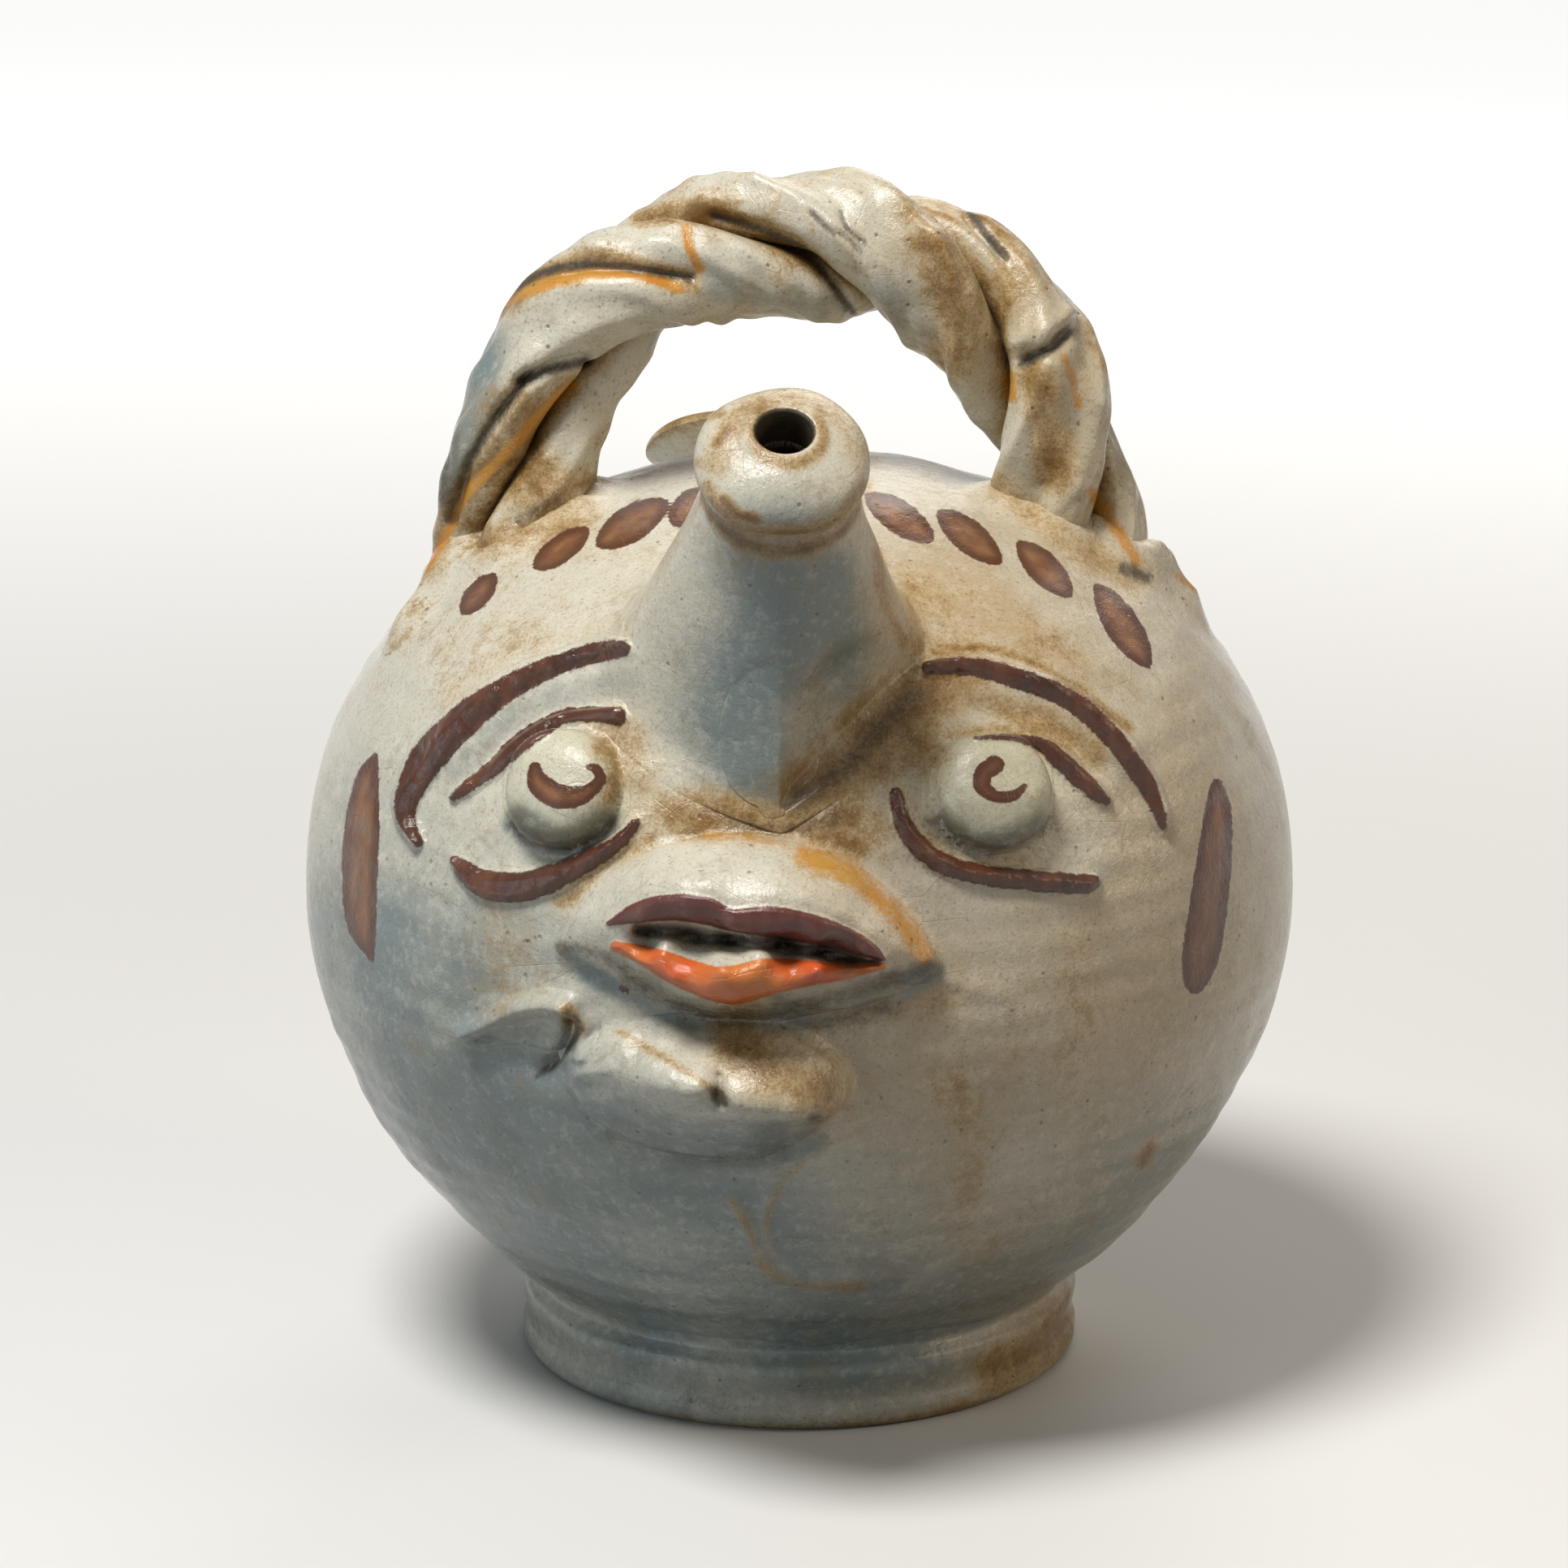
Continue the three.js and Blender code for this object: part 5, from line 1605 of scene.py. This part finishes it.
@dataclass
class RopeHandle:
    """The carrying handle: two flat rolls of clay laid round each other along a squared arch."""

    offset: float = -2.0
    half_span: float = 62.5
    rise: float = 98.5
    spring: float = 45.0
    fullness: float = 2.65
    half_thickness: float = 7.6
    half_width: float = 12.3
    squareness: float = 2.4
    lay: tuple[float, ...] = (60, 180, 277, 456, 640, 780)
    rings: int = 430
    sides: int = 84
    tails: tuple = (
        ("handle_smear_left", "handle_tail_left", ((-88, 49), (-85.5, 43), (-80.3, 36.0)), 8.0, 3.6),
        ("handle_smear_right", "handle_tail_right", ((86, 50), (88, 44), (91, 37.5)), 8.0, 3.4),
    )

    def arch(self, along: Array) -> tuple[Array, Array]:
        """Points and outward normals of the arch at shares of its length.

        The arch is a superellipse: side = |cos|^(2/fullness), height = |sin|^(2/fullness).

        Args:
            along: Shares of the length from the left foot.

        Returns:
            Points and unit normals in the arch's plane.
        """
        turn = math.pi * (1 - np.linspace(0, 1, 4001))
        power = 2 / self.fullness
        side = signed_power(np.cos(turn), power)
        up = np.abs(np.sin(turn)) ** power
        line = np.stack([self.offset + self.half_span * side, 0 * side,
                         SKIN.equator + self.spring + self.rise * up], -1)
        length = np.concatenate([[0], np.cumsum(np.linalg.norm(np.diff(line, axis=0), axis=-1))])
        s = along * length[-1]
        point = np.stack([np.interp(s, length, line[:, k]) for k in range(3)], -1)
        ahead = np.stack([np.interp(s + 0.4, length, line[:, k]) for k in range(3)], -1)
        back = np.stack([np.interp(s - 0.4, length, line[:, k]) for k in range(3)], -1)
        way = unit(ahead - back)
        return point, np.stack([-way[:, 2], 0 * s, way[:, 0]], -1)

    def twist(self, along: Array) -> Array:
        """Turn of the strands in radians, by a Catmull-Rom curve through the lay."""
        knots = np.array([self.lay[0], *self.lay, self.lay[-1]], float)
        s = np.clip(along, 0, 1 - 1e-9) * (len(self.lay) - 1)
        i = s.astype(int)
        return np.radians(through(*(knots[i + k] for k in range(4)), s - i))

    def strand(self, start: float) -> Array:
        """Rings of one strand.

        Its section is a superellipse off the arch's line, and it is dragged into lengthwise folds
        and lumps that fade where it touches the other strand.

        Args:
            start: Turn added to the lay in degrees.

        Returns:
            Rings by sides by three.
        """
        along = np.linspace(0.0, 1.0, self.rings)
        point, outward = self.arch(along)
        front = np.array([0.0, -1.0, 0.0])
        turn = self.twist(along) + math.radians(start)
        c, s = np.cos(turn)[:, None], np.sin(turn)[:, None]
        away = outward * c + front * s
        across = front * c - outward * s
        a = np.linspace(0, 2 * math.pi, self.sides, endpoint=False)
        power = 2 / self.squareness
        thick = (self.half_thickness + 0.3) * signed_power(np.cos(a), power)
        wide = self.half_width * signed_power(np.sin(a), power)
        stout = 1 + 0.16 * np.exp(-((along / 0.17) ** 2)) + 0.1 * np.exp(-(((1 - along) / 0.15) ** 2))
        spine = point + away * self.half_thickness
        ring = spine[:, None] + away[:, None] * thick[:, None]
        ring = ring + across[:, None] * (stout[:, None] * wide)[..., None]
        flat = ring.reshape(-1, 3)
        free = ease(np.cos(a), -0.75, 0.1)[None, :]
        drift = 1.3 * np.sin(along * 9 + start)[:, None]
        fold = 0.5 * np.sin(3 * a[None, :] + drift)
        fold = fold + 0.28 * np.sin(7 * a[None, :] - 1.7 * drift + start)
        lump = (0.75 * ripples(flat, 34, 11) + 0.3 * ripples(flat, 11, 12)).reshape(self.rings, -1)
        out = unit(ring - spine[:, None])
        places = CHART.place(flat)
        drag = np.zeros(len(flat))
        for line, width, height in DRAGS:
            drag += Ridge(line, width, height, 1.6).rise(places)
        facing = ease(-(out[..., 1]), 0.0, 0.4)
        push = (fold + lump - 0.2) * free + drag.reshape(self.rings, -1) * facing
        return ring + out * push[..., None]

    @staticmethod
    def seam(grid: Array, other: Array) -> Array:
        """Distance from each point of one strand to the skin of the other.

        Args:
            grid: Rings of the strand.
            other: Rings of the other.

        Returns:
            Millimetres, over the strand's points row by row.
        """
        away = np.full(grid.shape[:2], 99.0)
        count = len(grid)
        for k in range(count):
            low, high = max(0, k - 26), min(len(other), k + 27)
            near = other[low:high:2, ::2].reshape(-1, 3)
            away[k] = np.sqrt(((grid[k][:, None] - near) ** 2).sum(-1).min(-1))
        return away.reshape(-1)

    def strands(self) -> dict[str, Array]:
        """Rings of both strands outside the globe; tells the relief where their feet stand."""
        grids = {}
        for name, start in (("rope_strand_a", 0.0), ("rope_strand_b", 180.0)):
            grid = self.strand(start)
            skin = SKIN.settle(grid)
            above = np.linalg.norm(grid - SKIN.centre, axis=-1)
            above = above - np.linalg.norm(skin - SKIN.centre, axis=-1)
            keep = np.flatnonzero(above.max(-1) > -6.0)
            grids[name] = grid[keep[0]: keep[-1] + 1]
            ring = grid[np.abs(above) < 1.6][::5]
            RELIEF.feet = ring if RELIEF.feet is None else np.vstack([RELIEF.feet, ring])
        return grids

    def smear(self, route: Line, width: float) -> tuple[Array, Array, tuple[int, int, int]]:
        """Lays a strip of grid along a route over the globe, with round ends that dive into it.

        Args:
            route: Azimuths and elevations of its knots.
            width: Its half width.

        Returns:
            The strip's places on the skin, the height of its top there, and the grid's shape.
        """
        line = smooth_line([tuple(SKIN.at(*place)) for place in route], 24)
        way = unit(np.gradient(line, axis=0))
        side = np.cross(way, SKIN.normal(line))
        rows = np.concatenate([line[:1] - way[:1] * np.linspace(6, 1, 6)[:, None], line,
                               line[-1:] + way[-1:] * np.linspace(0.5, width, 10)[:, None]])
        beside = np.concatenate([np.repeat(side[:1], 6, 0), side, np.repeat(side[-1:], 10, 0)])
        reach = np.ones(len(rows)) * (width + 1.0)
        reach[-10:] *= np.sqrt(1 - np.linspace(0.05, 0.97, 10) ** 2)
        w = np.linspace(-1, 1, 29)
        strip = rows[:, None] + beside[:, None] * (reach[:, None] * w)[..., None]
        skin = SKIN.settle(strip).reshape(-1, 3)
        rim = ((1 - np.abs(w)) * reach[:, None]).reshape(-1)
        return skin, RELIEF.height(skin) - 1.4 * ease(-rim, -0.8, 0.0), strip.shape

    def build(self) -> None:
        """Makes both strands and both smears, and tells the relief of the smears' ridges."""
        grids = self.strands()
        for _, _, route, width, height in self.tails:
            line = smooth_line([tuple(SKIN.at(*place)) for place in route])
            RELIEF.trails.append((line, height, width))
        for name, node, other in (
            ("rope_strand_a", "handle_strand_a", "rope_strand_b"),
            ("rope_strand_b", "handle_strand_b", "rope_strand_a"),
        ):
            gap = self.seam(grids[name], grids[other])
            gap = np.concatenate([gap[: self.sides], gap, gap[-self.sides:]])
            # Ochre stain where the strands touch, and painted shade in the seam between them.
            stain = {Wash.OCHRE: 0.95 * np.exp(-((gap / 3.4) ** 2)),
                     Wash.SHADE_AND_GRIME: 0.9 * np.exp(-((gap / 1.1) ** 2))}
            hand_over(loft(name, grids[name]), ROPE, node, leaves=False, extra=stain)
        for name, node, route, width, _ in self.tails:
            skin, height, shape = self.smear(route, width)
            top, under = SKIN.settle(skin, height), SKIN.settle(skin, BURIED)
            smear = slab(name, top.reshape(shape), under.reshape(shape))
            hand_over(smear, ROPE, node, leaves=False)


@dataclass
class NoseSpout:
    """The trumpet that is the nose, its pierced knob and the wad pressed down its front."""

    bore: float = 5.7
    throat: float = 13.0
    knob_radius: float = 18.3
    knob_half: float = 9.7
    under: float = 0.5
    edge: float = 0.9
    sides: int = 144
    bore_rings: int = 30

    def wall(self) -> Array:
        """Rings of the trumpet: a skirt on the globe, up the outside and down the bore.

        Low down each ring lies on the relief, with its fillet; higher up it leaves that for the
        flare itself, less the flat that is pressed beside the nose's ridge.

        Returns:
            Rings by sides by three.
        """
        place = RELIEF.spout_frame
        turn = np.linspace(0, 2 * math.pi, self.sides, endpoint=False)
        ring = np.stack([np.cos(turn), np.sin(turn), 0 * turn], -1)
        level = np.zeros(self.sides)
        for _ in range(4):
            base = RELIEF.spout_radius(level, turn)
            foot = SKIN.settle(out_of(ring * base[:, None] + [0, 0, 1] * level[:, None], place))
            level = into(foot, place)[:, 2]
        rows = []
        for aside in (9.0, 8.6, 8.2, 7.8, 7.0, 5.5, 4.0, 2.8, 1.6, 0.8):
            skirt = aside * (1 - 0.45 * np.exp(-(((turn - 1.5 * math.pi) / 0.45) ** 2)))
            spot = ring * (base + skirt)[:, None] + [0, 0, 1] * level[:, None]
            skin = SKIN.settle(out_of(spot, place))
            sink = 1.0 * ease(np.full(1, aside), 8.0, 9.0) - 0.05
            rows.append(SKIN.settle(skin, RELIEF.height(skin) - sink))
        for up in np.linspace(0, 1, 90) ** 1.3:
            height = level + (RELIEF.spout_reach - level) * up
            radius = RELIEF.spout_radius(height, turn)
            spot = np.stack([radius * ring[:, 0], radius * ring[:, 1], height], -1)
            cone = out_of(spot, place)
            skin, rise = SKIN.below(cone)
            flat = RELIEF.cut(CHART.place(cone)) + RELIEF.thinning
            high = out_of(spot * (1 - flat / radius)[:, None] * [1, 1, 0] + spot * [0, 0, 1], place)
            share = ease(rise, 9, 17)[:, None]
            rows.append(SKIN.settle(skin, RELIEF.height(skin)) * (1 - share) + high * share)
        grid = np.array(rows)
        flat = grid.reshape(-1, 3)
        lump = 0.4 * ripples(flat, 38, 21).reshape(grid.shape[:2]) - 0.15
        free = np.linspace(0, 1, len(rows)) ** 0.7
        out = unit(into(flat, place) * [1, 1, 0.0]) @ place[1]
        grid = grid + out.reshape(grid.shape) * (lump * free[:, None])[..., None]
        skin = SKIN.below(flat)[0]
        facing = (SKIN.normal(skin)[:, 1] < 0) & (np.linalg.norm(flat - skin, axis=-1) < 40)
        under = self.under * ease(BRIDGE.depth(CHART.place(skin)), 4.0, 12.0) * facing
        grid = grid - (out * under[:, None]).reshape(grid.shape)
        inner = []
        for up in np.linspace(1, 0, self.bore_rings):
            height = level - 6 + (RELIEF.spout_reach - level + 6) * up
            taper = np.clip(height / (RELIEF.spout_reach - self.knob_half), 0, 1)
            radius = self.throat + (self.bore - self.throat) * taper
            inner.append(np.stack([radius * ring[:, 0], radius * ring[:, 1], height], -1))
        return np.concatenate([grid, out_of(np.array(inner), place)])

    def knob(self) -> Array:
        """Rings of the knob: an oblate bead, dished round the hole, with the bore through it."""
        place = RELIEF.spout_frame
        turn = np.linspace(-0.5, 0.5, 70) * math.pi
        radius = self.knob_radius * np.cos(turn) ** 0.92
        height = self.knob_half * np.sin(turn)
        keep = radius > self.bore + self.edge
        lip = np.linspace(0, 1, 8) * math.pi / 2
        top = height[keep][-1]
        rim = [(self.bore + self.edge * (1 - math.sin(a)), top - self.edge * (1 - math.cos(a)))
               for a in lip]
        shaft = [(self.bore, z) for z in np.linspace(top - 2.4, height[keep][0], 12)]
        profile = [*zip(radius[keep], height[keep]), *rim, *shaft]
        rows = [(r, RELIEF.spout_reach + z) for r, z in profile]
        grid = turned(rows, place, self.sides)
        local = into(grid, place)
        lump = 0.5 * ripples(grid.reshape(-1, 3), 27, 31).reshape(grid.shape[:2]) - 0.45
        swell_out = ease(np.hypot(local[..., 0], local[..., 1]), self.bore + 1, self.bore + 5)
        centre = np.array([0, 0, RELIEF.spout_reach])
        return out_of(local + unit(local - centre) * (lump * swell_out)[..., None], place)

    def build(self) -> None:
        """Makes the trumpet, the knob and the nose bridge."""
        wall = self.wall()
        up = into(wall.reshape(-1, 3), RELIEF.spout_frame)[:, 2] - RELIEF.spout_reach
        row = np.repeat(np.arange(len(wall)), self.sides)
        collar = np.exp(-(((up + self.knob_half - 0.5) / 2.2) ** 2))
        # Ochre stain in the collar under the knob; painted shade there and down the bore.
        stain = {Wash.OCHRE: collar,
                 Wash.SHADE_AND_GRIME: np.maximum(0.5 * collar, 1.0 * (row > len(wall) - self.bore_rings))}
        trumpet = loft("spout_trumpet", wall, closed=True)
        hand_over(trumpet, SHADED_TIN, "nose_spout", leaves=False, extra=stain)
        bead = self.knob()
        local = into(bead.reshape(-1, 3), RELIEF.spout_frame) - [0, 0, RELIEF.spout_reach]
        aside = np.hypot(local[:, 0], local[:, 1])
        inside = ease(-aside, -self.bore - self.edge, -self.bore - 0.1)
        below = ease(-local[:, 2], 4.6, 8.4)
        # Ochre stain and painted shade under the knob and in its hole.
        stain = {Wash.OCHRE: np.maximum(0.8 * below, 0.7 * inside),
                 Wash.SHADE_AND_GRIME: np.maximum(0.5 * below, 1.2 * inside)}
        bead = loft("spout_bead", bead, closed=True)
        hand_over(bead, TIN, "spout_knob", leaves=False, extra=stain)
        hand_over(BRIDGE.build(lambda skin: np.zeros(len(skin))), SHADED_TIN, "nose_bridge")


@dataclass
class Vessel:
    """The thrown globe, its foot and the filling neck behind the handle."""

    wall: float = 6.5
    bed: float = 5.0
    rows: int = 236
    columns: int = 380
    neck_azimuth: float = -174.0
    neck_elevation: float = 37.0
    neck_pitch: float = 63.0
    neck_yaw: float = -160.0
    neck_length: float = 19.0
    neck_base: float = 37.0
    neck_waist: float = 16.5
    neck_waist_at: float = 11.0
    neck_flare: float = 1.5
    lip_radius: float = 24.0
    lip_thickness: float = 4.2
    neck_bore: float = 11.5
    crowding: float = 0.55

    @property
    def neck_frame(self) -> Frame:
        """The frame of the filling neck, with Z along its bore."""
        point = SKIN.at(self.neck_azimuth, self.neck_elevation)
        return frame_at(point, Skin.heading(self.neck_yaw, self.neck_pitch))

    def neck_rise(self, skin: Array) -> Array:
        """Height of a fillet round the filling neck's foot: it dies away from the foot's ring."""
        local = into(skin, self.neck_frame)
        aside = np.hypot(local[:, 0], local[:, 1])
        near = (local[:, 2] > -40) & (aside > 15)
        return 1.2 * np.exp(-((aside - self.neck_base) / 3.0) ** 2) * near

    def globe(self, cutters: Sequence[Piece]) -> Piece:
        """Makes the globe: an outer skin raised by the relief, a plain inner skin, two bores.

        The rings of the outer skin are denser over the face: azimuth = u - crowding * sin(u).

        Args:
            cutters: Rods for the bores.

        Returns:
            The object.
        """
        u = np.linspace(-math.pi, math.pi, self.columns, endpoint=False)
        azimuth = np.degrees(u - self.crowding * np.sin(u))
        elevation = np.linspace(-89.2, 89.4, self.rows)
        skin = SKIN.at(azimuth[None, :], elevation[:, None] + 0 * azimuth[None, :]).reshape(-1, 3)
        height = RELIEF.height(skin) + self.neck_rise(skin)
        spout = RELIEF.spout_rise(skin)[0]
        height = height - ROOM * ease(spout, -4.8, -2.3)
        height = np.where(spout > 1.0, np.minimum(height, 1.0 + 0.12 * spout), height)
        outer = SKIN.settle(skin, height - covered(skin, PATCHES))
        outer[:, 2] = np.maximum(outer[:, 2], self.bed)
        outer = outer.reshape(self.rows, self.columns, 3)
        ring = np.radians(np.linspace(-89, 89, 60))
        reach = SKIN.reach(ring, -self.wall)
        rows = [(r * math.cos(e), max(SKIN.equator + r * math.sin(e), self.bed + self.wall))
                for r, e in zip(reach, ring)]
        inner = turned(rows, (np.zeros(3), np.eye(3)), 120)
        body = loft("globe_body", outer)
        hollow = loft("globe_hollow", inner)
        carve(body, [hollow, *cutters])
        return body

    def foot(self) -> Array:
        """Rings of the foot: a cove under the belly, a slightly hollow wall and a rolled, worn rim."""
        profile = smooth_line([
            (52.0, 11.0), (58.0, 16.6), (61.2, 20.6), (61.9, 21.6), (61.2, 20.4), (60.3, 18.8), (60.1, 17.6),
            (60.9, 16.3), (62.0, 14.9), (62.25, 13.2), (62.0, 11.2), (61.55, 8.8), (61.5, 6.8), (62.0, 5.2),
            (62.3, 3.8), (62.1, 2.2), (61.2, 0.9), (59.6, 0.2), (56.0, 0.0), (20.0, 0.0), (2.0, 0.0),
            (2.0, 7.0), (20.0, 7.5), (44.0, 8.6), (50.0, 10.0)], 7)
        grid = turned(profile, (np.zeros(3), np.eye(3)), 220)
        flat = grid.reshape(-1, 3)
        level = ease(flat[:, 2], 0.4, 4.0)
        push = (0.22 * ripples(flat, 40, 41) + 0.1 * ripples(flat, 12, 42) - 0.2) * level
        side = np.hypot(flat[:, 0], flat[:, 1])
        scale = 1 + push / np.maximum(side, 20)
        flat = flat * np.stack([scale, scale, np.ones(len(scale))], -1)
        flat[:, 2] = np.maximum(flat[:, 2], 0)
        return flat.reshape(grid.shape)

    def neck(self) -> Array:
        """Rings of the filling neck, up its flared outside, over its lip and down its bore."""
        place = self.neck_frame
        turn = np.linspace(0, 2 * math.pi, 160, endpoint=False)
        c, s = np.cos(turn), np.sin(turn)
        level = out_of(np.stack([self.neck_base * c, self.neck_base * s, 0 * c], -1), place)
        foot = into(SKIN.settle(level), place)
        base = np.hypot(foot[:, 0], foot[:, 1])
        wave = 0.8 * np.sin(2 * turn + 0.7) + 0.5 * np.sin(3 * turn)
        low, rise = self.neck_waist_at, self.neck_length - self.neck_waist_at
        flare = self.lip_radius - self.neck_waist
        rows = [(base + 3, foot[:, 2] - 4.5)]
        for up in np.linspace(0, 1, 50):
            radius = self.neck_waist + (base - self.neck_waist) * (1 - up) ** (self.neck_flare * 1.15)
            rows.append((radius, foot[:, 2] + (low - foot[:, 2]) * up - 0.3))
        for up in np.linspace(0.06, 1, 24):
            rows.append((self.neck_waist + flare * up**1.7, low + rise * up + wave * up))
        half = self.lip_thickness / 2
        for a in np.linspace(0.1, math.pi, 16):
            radius = self.lip_radius - half * (1 - math.cos(a))
            rows.append((radius, self.neck_length + half * math.sin(a) + wave))
        for up in np.linspace(1, 0, 20):
            radius = self.neck_bore + (self.lip_radius - self.lip_thickness - self.neck_bore) * up**1.3
            rows.append((radius, low + rise * up + wave * up - 0.2))
        for up in np.linspace(0.95, 0, 16):
            rows.append((self.neck_bore, foot[:, 2] - 5.5 + (low - foot[:, 2] + 5.5) * up))
        grid = np.array([np.stack([r * c, r * s, z], -1) for r, z in rows])
        grid = out_of(grid, place)
        flat = grid.reshape(-1, 3)
        out = unit(into(flat, place) * np.array([1, 1, 0]) + 1e-9) @ place[1]
        push = 0.35 * ripples(flat, 30, 51) - 0.35
        return (flat + out * push[:, None]).reshape(grid.shape)

    def build(self, spout: NoseSpout) -> None:
        """Makes the globe, the foot and the filling neck.

        Args:
            spout: Gives the width of the hole below the trumpet.
        """
        bores = [rod("spout_hole", spout.throat, RELIEF.spout_frame),
                 rod("neck_hole", self.neck_bore, self.neck_frame)]
        hand_over(self.globe(bores), TIN, "body_globe")
        hand_over(loft("foot_pad", self.foot(), closed=True), SHADED_TIN, "foot_ring")
        hand_over(loft("filling_neck_wall", self.neck(), closed=True), TIN, "filling_neck")


@dataclass
class Face:
    """The draped clay of the face."""

    def build(self) -> None:
        """Makes the eyes, brows, lids, mouth, lips, chin and cheek fold."""
        for patch in (*EYES, *BROWS, *LIDS, *LIPS, CHIN, FOLD):
            hand_over(patch.build(lambda skin: np.zeros(len(skin))), patch.glaze, patch.node)
        hand_over(MOUTH.build(lambda skin: covered(skin, LIPS)), MOUTH.glaze, MOUTH.node)


@dataclass
class Studio:
    """Floor, lamps, surroundings and camera."""

    floor_tone: Colour = (0.80, 0.80, 0.79)
    floor_shade: Colour = (0.22, 0.22, 0.22)
    ambient: float = 0.11
    sensor: float = 36.0
    lamps: tuple = (
        ("key", (-0.42, -0.5, 1.5), 0.5, 24.0, (1.0, 0.98, 0.95)),
        ("warm_side", (1.3, -0.35, 0.75), 0.6, 4.2, (1.0, 0.82, 0.58)),
        ("cool_side", (-1.15, -0.75, 0.25), 0.6, 2.2, (0.74, 0.88, 1.0)),
        ("back", (0.3, 1.2, 0.9), 0.9, 4.0, (1.0, 0.95, 0.88)),
    )

    @staticmethod
    def rays(tree: bpy.types.NodeTree) -> tuple[Sock, Sock, Sock]:
        """Tells in a shader whether it is met by a camera, a glossy or a transmission ray."""
        path = tree.nodes.new("ShaderNodeLightPath")
        return tuple(Sock(tree, path.outputs[f"Is {kind} Ray"])
                     for kind in ("Camera", "Glossy", "Transmission"))

    def floor(self) -> None:
        """A wide disc with a faint grain, which isn't part of the object."""
        sides, drop = 96, 0.02
        radius = [0.6, *np.geomspace(60, 6000, 40)]
        grid = turned([(r, -drop) for r in radius], (np.zeros(3), np.eye(3)), sides)
        faces = grid_faces(len(grid), sides, False, True)[:, ::-1]
        floor = new_piece("studio_floor", grid.reshape(-1, 3), faces)
        sh = Shader("studio_floor")
        grain = sh.noise(60, 3)
        sh.surface.inputs["Roughness"].default_value = 0.6
        far = sh.node("ShaderNodeVectorMath", {"operation": "LENGTH"}, {0: sh.coords}).outputs["Value"]
        camera, glossy, through_glass = self.rays(sh.tree)
        seen = camera.top(glossy).top(through_glass)
        glow = Sock(sh.tree, far).step(0.25, 1.6) * seen
        tone = sh.mix(grain * 0.06, self.floor_tone, (0.70, 0.70, 0.69))
        sh.feed("Base Color", sh.mix(seen, self.floor_shade, tone))
        sh.feed("Emission Color", sh.mix(glow, (0.0, 0.0, 0.0), (0.75, 0.75, 0.75)))
        sh.surface.inputs["Emission Strength"].default_value = 1.0
        floor.data.materials.append(sh.material)

    def surroundings(self) -> None:
        """A grey world that lights softly and shows white to the camera and in reflections."""
        world = bpy.data.worlds.new("studio")
        bpy.context.scene.world = world
        world.use_nodes = True
        tree = world.node_tree
        camera, glossy, through_glass = self.rays(tree)
        seen = camera.top(through_glass).top(glossy * 0.35)
        strength = seen * (1.0 - self.ambient) + self.ambient
        tree.links.new(strength.out, tree.nodes["Background"].inputs["Strength"])
        tree.nodes["Background"].inputs["Color"].default_value = (1, 1, 1, 1)

    def light(self) -> None:
        """Hangs the lamps, each turned to the middle of the jug."""
        for name, place, size, power, colour in self.lamps:
            lamp = bpy.data.lights.new(name, "AREA")
            lamp.shape, lamp.size, lamp.energy, lamp.color = "DISK", size, power, colour
            holder = bpy.data.objects.new(name, lamp)
            holder.location = place
            way = Vector((0, 0, 0.12)) - Vector(place)
            holder.rotation_euler = way.to_track_quat("-Z", "Y").to_euler()
            bpy.context.scene.collection.objects.link(holder)

    def camera(self) -> None:
        """Sets the camera at the chart's eye, with the chart filling its frame."""
        data = bpy.data.cameras.new("front")
        data.sensor_width = self.sensor
        data.lens = self.sensor * CHART.distance / CHART.step / CHART.width
        data.clip_start, data.clip_end = 0.05, 50.0
        camera = bpy.data.objects.new("front", data)
        camera.location = Vector((CHART.eye * MM).tolist())
        camera.rotation_euler = (math.radians(90 - CHART.pitch), 0, 0)
        bpy.context.scene.collection.objects.link(camera)
        bpy.context.scene.camera = camera
        bpy.context.scene.view_settings.view_transform = "Standard"

    def build(self) -> None:
        """Makes the whole studio."""
        self.floor()
        self.surroundings()
        self.light()
        self.camera()


def main() -> None:
    """Builds the jug piece by piece."""
    logging.basicConfig(level=logging.INFO, format="%(name)s %(message)s")
    Studio().build()
    spout = NoseSpout()
    RopeHandle().build()
    Vessel().build(spout)
    spout.build()
    Face().build()


if __name__ == "__main__":
    main()
